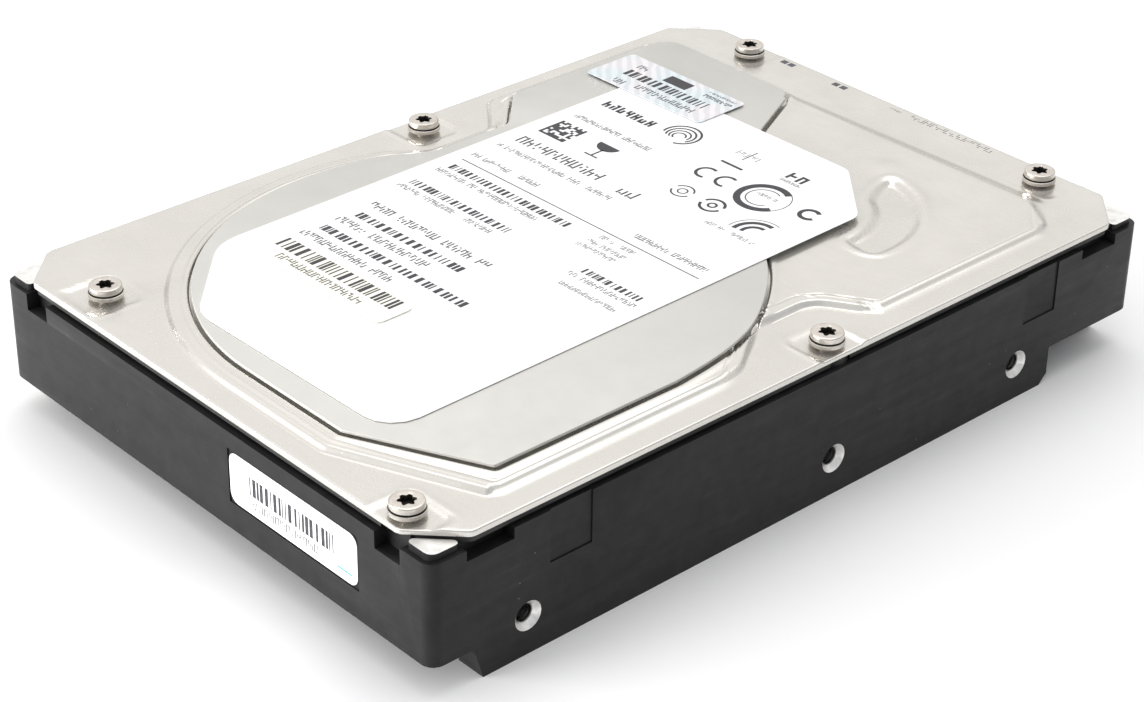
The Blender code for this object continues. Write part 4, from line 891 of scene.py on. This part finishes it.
class CaseSettings(bpy.types.PropertyGroup):
    """The cast base, its coating and the parts fixed underneath."""
    paint: tone("Paint", "Black coating of the casting", (0.012, 0.0118, 0.012))
    bare: tone("Bare metal", "Machined lands and hole mouths", (0.86, 0.85, 0.83))
    rubber: tone("Seal", "Rubber of the seal ring", (0.02, 0.02, 0.02))
    board: tone("Board", "Lacquer of the circuit board", (0.012, 0.09, 0.035))
    plastic: tone("Plastic", "Moulded plugs and chips", (0.018, 0.018, 0.019))
    gold: tone("Contacts", "Plating of the contacts and pads", (0.83, 0.62, 0.28))
    roughness: share("Paint roughness", "Roughness of the black coating", 0.42)
    edge: length("Casting edge", "Rounding of the casting's edges", 0.22 * MM)


class LabelSettings(bpy.types.PropertyGroup):
    """Paper, film and print of the labels."""
    paper: tone("Paper", "White label paper", (0.93, 0.93, 0.935))
    cream: tone("Cream paper", "Small label over the big one", (0.92, 0.90, 0.81))
    film: tone("Asset film", "Silvery security film", (0.66, 0.73, 0.76))
    ink: tone("Ink", "Thermal black print", (0.03, 0.03, 0.035))
    blue: tone("Blue ink", "Short stroke on the front label", (0.05, 0.25, 0.75))
    ink_height: length("Ink height", "How far the print stands on its label", 0.02 * MM)


class InnerSettings(bpy.types.PropertyGroup):
    """Finishes of the sealed inner pieces."""
    steel: tone("Steel", "Motor, suspensions and screws", (0.60, 0.59, 0.58))
    aluminium: tone("Aluminium", "Actuator arm, hub and clamp", (0.80, 0.80, 0.81))
    mirror: tone("Disc", "Polished recording surface", (0.88, 0.86, 0.84))
    copper: tone("Copper", "Motor and voice-coil windings", (0.80, 0.36, 0.16))
    magnet: tone("Magnet", "Plated magnets", (0.52, 0.50, 0.48))
    ramp: tone("Ramp", "Moulded load ramp", (0.80, 0.78, 0.70))
    film: tone("Flex film", "Flexible circuit", (0.55, 0.24, 0.04))
    felt: tone("Felt", "Filter and damping felt", (0.62, 0.60, 0.56))


class StageSettings(bpy.types.PropertyGroup):
    """Floor, light and camera."""
    floor: tone("Floor", "Plain pale floor", (0.97, 0.97, 0.97))
    sky: plain("Sky strength", "Brightness of the surrounding white", 1.08)
    key: plain("Key power", "Power of the overhead softbox", 14.0, unit="POWER")
    fill: plain("Front power", "Power of the softbox in front", 15.0, unit="POWER")
    lens: plain("Lens", "Focal length in millimetres", 84.93)


SETTINGS = {
    "drive_cover": CoverSettings, "drive_case": CaseSettings, "drive_labels": LabelSettings,
    "drive_inner": InnerSettings, "drive_stage": StageSettings,
}


# --------------------------------------------------------------- operators

class DRIVE_OT_cover(bpy.types.Operator):
    """Press the cover's sheet and lay the damping plate on it"""
    bl_idname = "drive.cover"
    bl_label = "Cover and Plate"

    def execute(self, context):
        s = context.scene.drive_cover
        metal = cover_metal(s.metal, s.gloss)
        finish_piece(cover_surface(), metal, "root", "cover_metal", "top_cover")
        look = grained("damping_plate_look", s.plate, 0.60, 0.46, 0.35 * MM, 0.012 * MM, 0.03, 0.06)
        plate = slab("damping_sheet", damper_path(), DAMPER_LOW[2], DAMPER_HIGH[2], s.plate_edge)
        finish_piece(plate, look, "root", "cover_metal", "damping_plate")
        return {"FINISHED"}


def screw_profile(low, high, upper, lower, recess, depth):
    """A cheese head with a waist groove: centre of the recess, out over the top, down the side, and in underneath."""
    waist = low + 0.75 * MM
    turns = np.linspace(0, np.pi / 2, 4)
    rim = [(upper - 0.22 * MM + 0.22 * MM * np.sin(a), high - 0.22 * MM * (1 - np.cos(a))) for a in turns]
    return [
        (0.004 * MM, high - depth), (recess * 0.55, high - depth), (recess * 0.93, high - depth * 0.92),
        (recess, high - 0.10 * MM), (recess + 0.06 * MM, high - 0.02 * MM), (recess + 0.30 * MM, high),
        (upper - 0.5 * MM, high), *rim,
        (upper, waist + 0.16 * MM), (upper - 0.16 * MM, waist + 0.10 * MM), (upper - 0.18 * MM, waist - 0.04 * MM),
        (lower - 0.10 * MM, waist - 0.12 * MM), (lower, waist - 0.22 * MM), (lower, low + 0.05 * MM),
        (lower - 0.05 * MM, low), (1.3 * MM, low), (1.3 * MM, low - 5.0 * MM), (0.004 * MM, low - 5.3 * MM),
    ]


def six_lobes(profile, angles):
    """Scale of each ring by angle: rings inside the recess swell and shrink six times round."""
    weight = np.zeros((len(profile), 1))
    weight[2:5] = 0.17
    weight[1] = 0.08
    return 1 + weight * np.cos(6 * angles)


class DRIVE_OT_screws(bpy.types.Operator):
    """Turn the six cover screws"""
    bl_idname = "drive.screws"
    bl_label = "Cover Screws"

    def execute(self, context):
        s = context.scene.drive_cover
        nickel = machined_metal("screw_nickel_look", s.screw, 0.26, 0.18 * MM)
        # The near-black copy of the nickel is painted shade for the driver recess and the waist groove.
        painted_shade = machined_metal("screw_recess_painted_shade_look", tint(s.screw, 0.07), 0.55, 0.18 * MM)
        for name, place in zip(SCREW_NODES, SCREW_CENTRES):
            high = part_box(name)[1]
            profile = screw_profile(
                high[2] - 1.8 * MM, high[2], 2.5 * MM, 2.7 * MM, s.recess_radius, s.recess_depth,
            )
            thing = lathe(name + "_turned", profile, place, 72, six_lobes)
            finish_piece(thing, nickel, "root", "nickel", name)
            thing.data.materials.append(painted_shade)
            # Faces inside the driver recess and round the waist groove take the near-black look: painted shade.
            centres = face_values(thing.data, "center")
            reach, level = np.hypot(*(centres[:, :2] - place).T), centres[:, 2]
            waist = high[2] - 1.05 * MM
            recess_painted_shade = (reach < s.recess_radius * 1.17) & (level < high[2] - 0.05 * MM) & (level > waist)
            groove = (np.abs(level - waist) < 0.13 * MM) & (reach > 2.0 * MM)
            thing.data.polygons.foreach_set("material_index", (recess_painted_shade | groove).astype(np.int32))
        return {"FINISHED"}


THREAD_SIDES = 28
THREAD_PITCH = 0.7


def thread_liner(origin, axes):
    """Thread crests in a fixing hole: a zigzag of radius against depth, at even pitch, turned about the hole."""
    depth = np.linspace(0.9, 3.7, 29)
    ridge = 1.32 + 0.12 * np.abs(((depth / THREAD_PITCH) % 1.0) * 2 - 1)
    profile = np.c_[np.r_[1.46, ridge, 1.2, 0.005], np.r_[0.85, depth, 3.75, 3.75]] * MM
    angles = np.linspace(0, 2 * np.pi, THREAD_SIDES, endpoint=False)
    across, along = profile[:, :1], np.repeat(profile[:, 1:], THREAD_SIDES, 1)
    points = np.stack([across * np.cos(angles), across * np.sin(angles), -along], -1).reshape(-1, 3)
    return points @ axes.T + origin, grid_faces(len(profile), THREAD_SIDES, True)


def hole_places():
    """Each fixing hole's mouth and its axes: three in each side and two under each rail."""
    down = np.array([[1, 0, 0], [0, -1, 0], [0, 0, -1]], float)
    for side in (-1, 1):
        outward = np.array([[0, 0, side], [0, 1, 0], [-side, 0, 0]], float)
        for step in SIDE_HOLE_STEPS:
            yield np.array([side * HALF_WIDTH, HALF_LENGTH - FIRST_HOLE_INSET - step, SIDE_HOLE_HEIGHT]), outward
        for inset in BOTTOM_HOLE_INSETS:
            yield np.array([side * (HALF_WIDTH - BOTTOM_HOLE_SIDE_INSET), HALF_LENGTH - inset, 0.0]), down


class DRIVE_OT_casting(bpy.types.Operator):
    """Round the casting's edges, bare its machined lands and line its threaded holes"""
    bl_idname = "drive.casting"
    bl_label = "Casting"

    def execute(self, context):
        s = context.scene.drive_case
        looks = [
            black_paint(s.paint, s.roughness),
            machined_metal("bare_land_look", s.bare, 0.34, 0.25 * MM),
            # The bores get a near-black tint of the bare metal: painted shade inside the holes.
            machined_metal("bore_painted_shade_look", tint(s.bare, 0.2), 0.34, 0.25 * MM),
        ]
        shell = softened_copy("base_casting", "casting_shell", looks, paint_or_metal, s.edge, 32.0)
        finish_piece(shell, None, "root", "black_paint", "base_casting")
        points, faces = [], []
        for origin, axes in hole_places():
            more, quads = thread_liner(origin, axes)
            faces += (np.array(quads) + len(points)).tolist()
            points += more.tolist()
        liners = new_object("thread_crests", points, faces)
        # The thread crests take a dark tint of the bare metal: painted shade inside the holes.
        thread = machined_metal("thread_painted_shade_look", tint(s.bare, 0.3), 0.3, 0.2 * MM)
        finish_piece(liners, thread, "root", "aluminium")
        seal = grained("seal_rubber_look", s.rubber, 0.0, 0.62, 0.3 * MM, 0.02 * MM, 0.25, 0.08)
        dress(["cover_gasket"], seal)
        return {"FINISHED"}


LABEL_MIDDLE = (LABEL_LOW[:2] + LABEL_HIGH[:2]) / 2
LABEL_TILT = np.radians(0.9)


def main_layout(marks):
    """The big label's print: headings, codes, rules and rows, in millimetres before the label's tilt."""
    marks.line(-30.6, -18.0, 33.2, 2.2, 0.34, 0.78, 0.0)
    marks.line(-30.3, -12.3, 26.2, 1.3, 0.17)
    marks.block_code(-30.2, 17.3, 5.9, 11)
    marks.line(-30.0, -9.3, 13.2, 2.5, 0.20, 0.72, 0.0)
    marks.line(-5.6, -1.3, 12.7, 2.5, 0.20, 0.8, 0.0)
    marks.line(-30.7, -4.2, 9.15, 1.3, 0.16)
    marks.line(-30.7, -21.5, 3.6, 1.3, 0.16)
    marks.line(-19.5, -15.3, 3.7, 1.3, 0.16)
    marks.line(7.2, 22.5, 3.6, 1.35, 0.17)
    marks.bar(-30.5, 23.5, 0.83, 1.03)
    marks.barcode(-30.0, -1.6, -2.0, 1.7)
    marks.line(-30.5, -6.5, -4.3, 1.25, 0.16)
    marks.barcode(-30.2, -6.4, -10.2, 1.7)
    marks.line(-30.4, -7.3, -12.5, 1.25, 0.16)
    marks.barcode(9.5, 22.5, -10.1, 1.5)
    marks.line(9.0, 23.2, -12.2, 1.2, 0.17, 0.8)
    marks.line(10.4, 22.6, -15.2, 1.1, 0.14)
    for x0, x1, y in ((4.0, 11.3, -0.7), (3.4, 11.5, -2.9), (3.0, 11.5, -4.7)):
        marks.line(x0, x1, y, 1.1, 0.14)
    marks.line(-28.0, -0.2, -20.0, 1.8, 0.2, 0.74, 0.1)
    marks.barcode(-27.4, -1.5, -23.9, 1.75, 0.27)
    marks.line(-27.7, -6.0, -26.9, 1.8, 0.18, 0.74, 0.1)
    marks.barcode(-27.3, 6.5, -30.6, 1.75, 0.27)
    marks.line(-27.9, -5.9, -33.8, 1.7, 0.18, 0.70, 0.08)
    marks.bar(-19.2, -16.2, 17.4, 17.75)
    marks.bar(-17.85, -17.5, 17.7, 20.4)
    marks.bar(-2.2, 2.5, 31.95, 32.5)
    marks.bar(-0.2, 0.0, 34.9, 38.6)
    marks.line(-2.6, 2.8, 36.6, 1.5, 0.11, 0.8, 0.0)
    marks.line(8.7, 13.0, 36.7, 2.3, 0.34, 0.9, 0.0)
    marks.line(8.6, 12.9, 34.7, 0.8, 0.14)
    marks.line(9.6, 14.2, 28.3, 0.9, 0.16)
    marks.line(10.5, 21.5, 15.1, 1.0, 0.15)


MAIN_RINGS = [
    (-13.2, 34.1, 3.15, 3.55, -70, 200), (-13.2, 33.9, 2.4, 2.75, -30, 215), (-13.2, 33.7, 1.7, 2.0, -10, 230),
    (-13.2, 33.5, 1.0, 1.3, 10, 250), (-17.9, 22.3, 0.0, 2.3, 180, 360),
    (11.5, 27.6, 3.6, 4.8, 55, 330), (11.5, 27.6, 4.6, 4.75, -30, 55), (11.5, 27.6, 2.7, 2.9, 60, 320),
    (20.4, 28.8, 1.2, 1.95, 50, 330), (-0.7, 27.2, 1.45, 2.0, 65, 295), (3.7, 27.2, 1.45, 2.0, 65, 295),
    (1.4, 19.7, 1.75, 2.05, 20, 160), (1.4, 19.7, 1.75, 2.05, 200, 340), (1.4, 19.7, 0.7, 0.95, 0, 360),
    (8.0, 19.7, 1.8, 2.3, 15, 165), (8.0, 19.7, 1.8, 2.3, 195, 345), (8.0, 19.7, 0.5, 0.9, 0, 360),
    (19.0, 17.6, 4.6, 4.75, 75, 190), (19.0, 17.6, 3.2, 4.0, 80, 195), (19.0, 17.6, 1.8, 2.5, 85, 200),
]


class DRIVE_OT_labels(bpy.types.Operator):
    """Give the labels their paper and film, and lay the print on them"""
    bl_idname = "drive.labels"
    bl_label = "Labels"

    def execute(self, context):
        s = context.scene.drive_labels
        white = paper("label_paper_look", s.paper)
        dress(["main_label", "front_label"], white)
        dress(["small_label"], paper("cream_paper_look", s.cream, 0.45))
        dress(["asset_sticker"], holographic_foil(s.film))
        black = ink("print_ink_look", s.ink)

        def lay(name, marks, base, look):
            thing = printed(name, marks, base - 0.01 * MM, base + s.ink_height, LABEL_MIDDLE, LABEL_TILT)
            return finish_piece(thing, look, "root", "label_stock")

        main = Marks(41)
        main_layout(main)
        lay("main_print", main, LABEL_HIGH[2], black)
        low, high = LABEL_HIGH[2] - 0.01 * MM, LABEL_HIGH[2] + s.ink_height
        icons = printed_rings("main_icons", MAIN_RINGS, low, high, LABEL_MIDDLE, LABEL_TILT)
        finish_piece(icons, black, "root", "label_stock")
        small = Marks(7)
        small.barcode(-27.4, 1.2, -38.4, 2.9, 0.27)
        small.line(-24.0, -4.4, -41.6, 1.6, 0.18, 0.78, 0.05)
        lay("small_print", small, SMALL_TOP, black)
        asset = Marks(19)
        asset.bar(-30.5, -25.1, 46.6, 49.2)
        asset.barcode(-37.6, -17.0, 44.6, 2.3, 0.26)
        asset.line(-37.2, -34.3, 47.6, 1.5, 0.18, 0.8, 0.0)
        asset.line(-36.4, -34.0, 40.8, 1.6, 0.18, 0.8, 0.0)
        asset.line(-31.6, -17.5, 41.6, 1.6, 0.18, 0.78, 0.0)
        asset.line(-21.6, -15.2, 49.3, 0.6, 0.2, 0.9, 0.0)
        asset.line(-21.4, -15.3, 47.8, 1.0, 0.24, 0.8, 0.0)
        lay("asset_print", asset, ASSET_TOP, black)
        flange = Marks(5)
        for x in (-26.0, -24.3, -13.6, -11.8):
            flange.bar(x - 0.65, x + 0.65, 70.6, 71.8)
        flange.line(3.8, 21.5, 71.4, 1.5, 0.13, 1.0, 0.0)
        flange.line(-1.2, 1.6, 71.2, 0.7, 0.13, 1.0, 0.0)
        stamp = printed("cover_stamp", flange, FLANGE_Z - 0.02 * MM, FLANGE_Z + 0.01 * MM)
        finish_piece(stamp, ink("stamp_ink_look", tint(s.ink, 2.2)), "root", "label_stock")
        self.front(s, black)
        return {"FINISHED"}

    def front(self, s, black):
        """The front label stands upright: its layout is in x and z, pushed just proud of the paper."""
        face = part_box("front_label")[0][1]
        for name, marks, look in (
            ("front_print", self.front_marks(), black),
            ("front_stroke", self.front_stroke(), ink("blue_ink_look", s.blue)),
        ):
            rows = np.array(marks.spans) * MM
            depth = np.full(len(rows), face)
            spans = np.c_[rows[:, :2], depth - s.ink_height, depth + 0.01 * MM, rows[:, 2:]]
            finish_piece(boxes(name, spans), look, "root", "label_stock")

    def front_marks(self):
        marks = Marks(23)
        marks.barcode(10.6, 31.4, 14.9, 3.0, 0.24)
        marks.line(12.0, 27.5, 12.1, 1.4, 0.2, 0.9, 0.0)
        return marks

    def front_stroke(self):
        marks = Marks(1)
        marks.bar(31.0, 34.2, 11.7, 12.0)
        return marks


class DRIVE_OT_underside(bpy.types.Operator):
    """Finish the circuit board, its plugs and pads, and the motor's mounting flange"""
    bl_idname = "drive.underside"
    bl_label = "Underside"

    def execute(self, context):
        s = context.scene.drive_case
        inner = context.scene.drive_inner
        dress(["circuit_board"], board_mask(s.board))
        plastic = grained("black_plastic_look", s.plastic, 0.0, 0.42, 0.25 * MM, 0.015 * MM, 0.15, 0.1)
        steel = grained("bright_steel_look", inner.steel, 1.0, 0.28, 0.2 * MM, 0.006 * MM, 0.08, 0.08)
        dress(["controller_chip", "memory_chip", "motor_chip"], plastic)
        foam = grained("board_pad_look", (0.05, 0.05, 0.052), 0.0, 0.9, 0.5 * MM, 0.08 * MM, 0.3, 0.05)
        dress(["board_pad"], foam)
        for node in ("rear_connector", "jumper_block"):
            thing = softened_copy(node, node + "_moulded", [plastic], one_finish, 0.08 * MM, 30.0)
            finish_piece(thing, None, "root", "black_plastic", node)
        for i in range(1, 5):
            node = f"board_screw_{i}"
            thing = softened_copy(node, node + "_turned", [steel], one_finish, 0.08 * MM, 35.0)
            finish_piece(thing, None, "root", "steel", node)
        thing = softened_copy("motor_flange", "motor_flange_turned", [steel], one_finish, 0.15 * MM, 30.0)
        finish_piece(thing, None, "root", "steel", "motor_flange")
        gold = machined_metal("contact_gold_look", s.gold, 0.22, 0.2 * MM)
        low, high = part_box("rear_connector")
        pads = self.contacts(low, high)
        finish_piece(boxes("plug_contacts", pads), gold, "root", "steel")
        board_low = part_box("circuit_board")[0]
        finish_piece(boxes("board_pads", self.board_pads(board_low)), gold, "root", "board_green")
        return {"FINISHED"}

    def contacts(self, low, high):
        """Seven data and fifteen power contacts at even pitch under the two tongues."""
        left, level = low[0] / MM, 3.2
        rear = high[1] / MM - 0.8
        starts = np.r_[left + 4.2 + 0.9 + 1.27 * np.arange(7), left + 17.0 + 0.7 + 1.27 * np.arange(15)]
        rows = [(x, x + 0.8, rear - 4.6, rear - 0.4, level - 0.04, level + 0.02) for x in starts]
        return np.array(rows) * MM

    def board_pads(self, low):
        """Test pads and plug joints on the board's outer face, from a seeded draw on a half-millimetre grid."""
        random = np.random.RandomState(12)
        count = 260
        z = low[2] / MM
        x = np.round(random.uniform(-41, 40, count) * 2) / 2
        y = np.round(random.uniform(-5, 56, count) * 2) / 2
        size = random.choice([0.35, 0.5, 0.8], count)
        away = np.hypot(x, y + 22.7) > 24
        rows = [(a, a + w, b, b + w, z - 0.03, z + 0.02) for a, b, w in zip(x[away], y[away], size[away])]
        rows += [(5.5 + 1.27 * k, 6.2 + 1.27 * k, 57.5, 59.6, z - 0.05, z + 0.02) for k in range(30)]
        rows += [(-7.6 + 2.0 * k, -6.6 + 2.0 * k, 66.0, 67.0, z - 0.25, z + 0.02) for k in range(4)]
        rows += [(-14.5 + 2.4 * k, -12.7 + 2.4 * k, 1.2, 3.0, z - 0.04, z + 0.02) for k in range(4)]
        return np.array(rows) * MM


class DRIVE_OT_inner(bpy.types.Operator):
    """Finish the sealed pieces: motor, discs, actuator, magnets, ramp, latch, flex and filters"""
    bl_idname = "drive.inner"
    bl_label = "Sealed Pieces"

    def execute(self, context):
        s = context.scene.drive_inner
        case = context.scene.drive_case
        steel = grained("inner_steel_look", s.steel, 1.0, 0.30, 0.2 * MM, 0.006 * MM, 0.08, 0.08)
        aluminium = grained("inner_aluminium_look", s.aluminium, 1.0, 0.36, 0.22 * MM, 0.01 * MM, 0.05, 0.08)
        dress(["motor_shaft", "pivot_shaft", "pivot_sleeve", "latch_pin"], steel)
        dress([f"clamp_screw_{i}" for i in range(1, 5)] + [f"suspension_{i}" for i in range(1, 5)], steel)
        dress(["rotor_hub", "disc_spacer", "disc_clamp", "arm_block"], aluminium)
        dress(["lower_platter", "upper_platter"], disc_mirror(s.mirror))
        dress(["motor_stator", "voice_coil"], wound_copper(s.copper))
        magnets = grained("magnet_look", s.magnet, 0.95, 0.33, 0.3 * MM, 0.012 * MM, 0.1, 0.1)
        dress(["rotor_magnet", "lower_magnet", "upper_magnet", "lower_yoke", "upper_yoke"], magnets)
        dress(["load_ramp"], grained("ramp_look", s.ramp, 0.0, 0.35, 0.3 * MM, 0.01 * MM, 0.05, 0.08))
        dark = grained("inner_plastic_look", case.plastic, 0.0, 0.45, 0.25 * MM, 0.015 * MM, 0.15, 0.1)
        dress(["latch_lever", "head_connector", "breather_filter"], dark)
        dress(["inner_stop", "outer_stop"], grained("stop_rubber_look", case.rubber, 0.0, 0.6, 0.3 * MM, 0.02 * MM))
        dress(["recirculation_filter"], grained("felt_look", s.felt, 0.0, 0.95, 0.25 * MM, 0.12 * MM, 0.12, 0.03))
        film = grained("flex_film_look", s.film, 0.0, 0.3, 0.4 * MM, 0.008 * MM, 0.15, 0.08)
        self.flex(film)
        return {"FINISHED"}

    def flex(self, film):
        """The flexible circuit: a cubic curve from the head connector to the arm, carried upright as a thin strip."""
        low, high = node_box("flex_cable")
        plug_low, plug_high = node_box("head_connector")
        start = np.array([plug_high[0] - 6.0 * MM, plug_low[1] - 0.6 * MM])
        end = PIVOT + 9.1 * MM * np.array([np.cos(np.radians(112)), np.sin(np.radians(112))])
        control = np.array([start, start + np.array([14.0, -1.0]) * MM, end + np.array([-5.0, 10.0]) * MM, end])
        t = np.linspace(0, 1, 61)[:, None]
        weights = np.concatenate([(1 - t) ** 3, 3 * t * (1 - t) ** 2, 3 * t * t * (1 - t), t ** 3], 1)
        path = weights @ control
        slope = np.gradient(path, axis=0)
        normal = np.stack([-slope[:, 1], slope[:, 0]], -1) / np.linalg.norm(slope, axis=1)[:, None]
        rings = []
        for side, z in ((-1, low[2]), (1, low[2]), (1, high[2]), (-1, high[2])):
            rings.append(np.c_[path + normal * side * 0.06 * MM, np.full(len(path), z)])
        points = np.stack(rings, 1)
        faces = grid_faces(len(path), 4, True) + [[0, 1, 2, 3], [len(path) * 4 - 1 - k for k in range(4)]]
        thing = new_object("flex_strip", points.reshape(-1, 3).tolist(), faces, smooth=False)
        fix_outside(thing)
        thing.data.materials.append(film)
        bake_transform(thing)
        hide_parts("flex_cable")


class DRIVE_OT_stage(bpy.types.Operator):
    """Lay the pale floor, hang the soft lights and place the camera"""
    bl_idname = "drive.stage"
    bl_label = "Stage"

    def execute(self, context):
        s = context.scene.drive_stage
        scene = context.scene
        reach, count = 3.0, 13
        steps = np.linspace(-reach, reach, count)
        x, y = np.meshgrid(steps, steps)
        points = np.stack([x.ravel(), y.ravel(), np.zeros(x.size)], -1)
        floor = new_object("studio_floor", points.tolist(), grid_faces(count, count, False))
        floor.data.materials.append(floor_paint(s.floor))
        self.sky(scene, s.sky)
        self.softbox("overhead_softbox", (-0.35, 0.55, 2.0), (0.0, 0.0, 0.0), (2.0, 2.0), s.key)
        self.softbox("front_softbox", (-0.5, -0.9, 0.13), (0.0, 0.0, 0.02), (0.7, 0.2), s.fill)
        self.camera(scene, s.lens)
        scene.view_settings.view_transform = "Standard"
        return {"FINISHED"}

    def sky(self, scene, strength):
        """A white surround that dims towards the horizon and greys a little towards the right."""
        world = bpy.data.worlds.new("studio_sky")
        scene.world = world
        world.use_nodes = True
        nodes, links = world.node_tree.nodes, world.node_tree.links
        background = nodes["Background"]
        place = nodes.new("ShaderNodeTexCoord")
        split = nodes.new("ShaderNodeSeparateXYZ")
        rise = nodes.new("ShaderNodeMapRange")
        for socket, value in zip(list(rise.inputs)[1:5], (0.0, 0.34, 0.45 * strength, strength)):
            socket.default_value = value
        links.new(split.outputs["Z"], rise.inputs["Value"])
        links.new(rise.outputs[0], background.inputs["Strength"])
        ramp = nodes.new("ShaderNodeMapRange")
        mix = nodes.new("ShaderNodeMix")
        mix.data_type = "RGBA"
        links.new(place.outputs["Generated"], split.inputs[0])
        links.new(split.outputs["X"], ramp.inputs["Value"])
        ramp.inputs["From Min"].default_value = -0.3
        ramp.inputs["From Max"].default_value = 0.9
        links.new(ramp.outputs[0], mix.inputs[0])
        mix.inputs[6].default_value = (1.0, 0.99, 0.98, 1.0)
        mix.inputs[7].default_value = (0.55, 0.56, 0.58, 1.0)
        links.new(mix.outputs[2], background.inputs["Color"])

    def softbox(self, name, place, target, size, power):
        data = bpy.data.lights.new(name, "AREA")
        data.shape = "RECTANGLE"
        data.size, data.size_y = size
        data.energy = power
        lamp = bpy.data.objects.new(name, data)
        lamp.location = place
        lamp.rotation_euler = (Vector(target) - Vector(place)).to_track_quat("-Z", "Y").to_euler()
        bpy.context.scene.collection.objects.link(lamp)

    def camera(self, scene, lens):
        """A camera set by azimuth, elevation, roll, aim and distance: back, right and up are its axes."""
        azimuth, rise, roll = np.radians([47.4319, 30.3486, 0.9064])
        aim, distance = np.array([24.64, -25.34, 24.09]) * MM, 389.36 * MM
        back = np.array([np.sin(azimuth) * np.cos(rise), -np.cos(azimuth) * np.cos(rise), np.sin(rise)])
        right = np.array([np.cos(azimuth), np.sin(azimuth), 0.0])
        up = np.cross(back, right)
        across = np.cos(roll) * right + np.sin(roll) * up
        upward = np.cos(roll) * up - np.sin(roll) * right
        place = aim + back * distance
        data = bpy.data.cameras.new("studio_camera")
        data.lens = lens
        data.sensor_width = 36.0
        data.clip_start = 0.01
        camera = bpy.data.objects.new("studio_camera", data)
        camera.matrix_world = Matrix([
            (across[i], upward[i], back[i], place[i]) for i in range(3)
        ] + [(0, 0, 0, 1)])
        scene.collection.objects.link(camera)
        scene.camera = camera


OPERATORS = (
    DRIVE_OT_casting, DRIVE_OT_cover, DRIVE_OT_screws, DRIVE_OT_labels, DRIVE_OT_underside, DRIVE_OT_inner,
    DRIVE_OT_stage,
)


class DRIVE_PT_panel(bpy.types.Panel):
    """Lists the drive's operators and their settings"""
    bl_idname = "DRIVE_PT_panel"
    bl_label = "Disk Drive"
    bl_space_type = "VIEW_3D"
    bl_region_type = "UI"
    bl_category = "Disk Drive"

    def draw(self, context):
        for operator in OPERATORS:
            self.layout.operator(operator.bl_idname)
        for key, group in SETTINGS.items():
            box = self.layout.box()
            box.label(text=group.__doc__.split(".")[0])
            for name in group.__annotations__:
                box.prop(getattr(context.scene, key), name)


CLASSES = tuple(SETTINGS.values()) + OPERATORS + (DRIVE_PT_panel,)


def register():
    for item in CLASSES:
        bpy.utils.register_class(item)
    for key, group in SETTINGS.items():
        setattr(bpy.types.Scene, key, bpy.props.PointerProperty(type=group))


def unregister():
    for key in SETTINGS:
        delattr(bpy.types.Scene, key)
    for item in reversed(CLASSES):
        bpy.utils.unregister_class(item)


def main():
    register()
    for operator in OPERATORS:
        area, name = operator.bl_idname.split(".")
        getattr(getattr(bpy.ops, area), name)()
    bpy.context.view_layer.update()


if __name__ == "__main__":
    main()
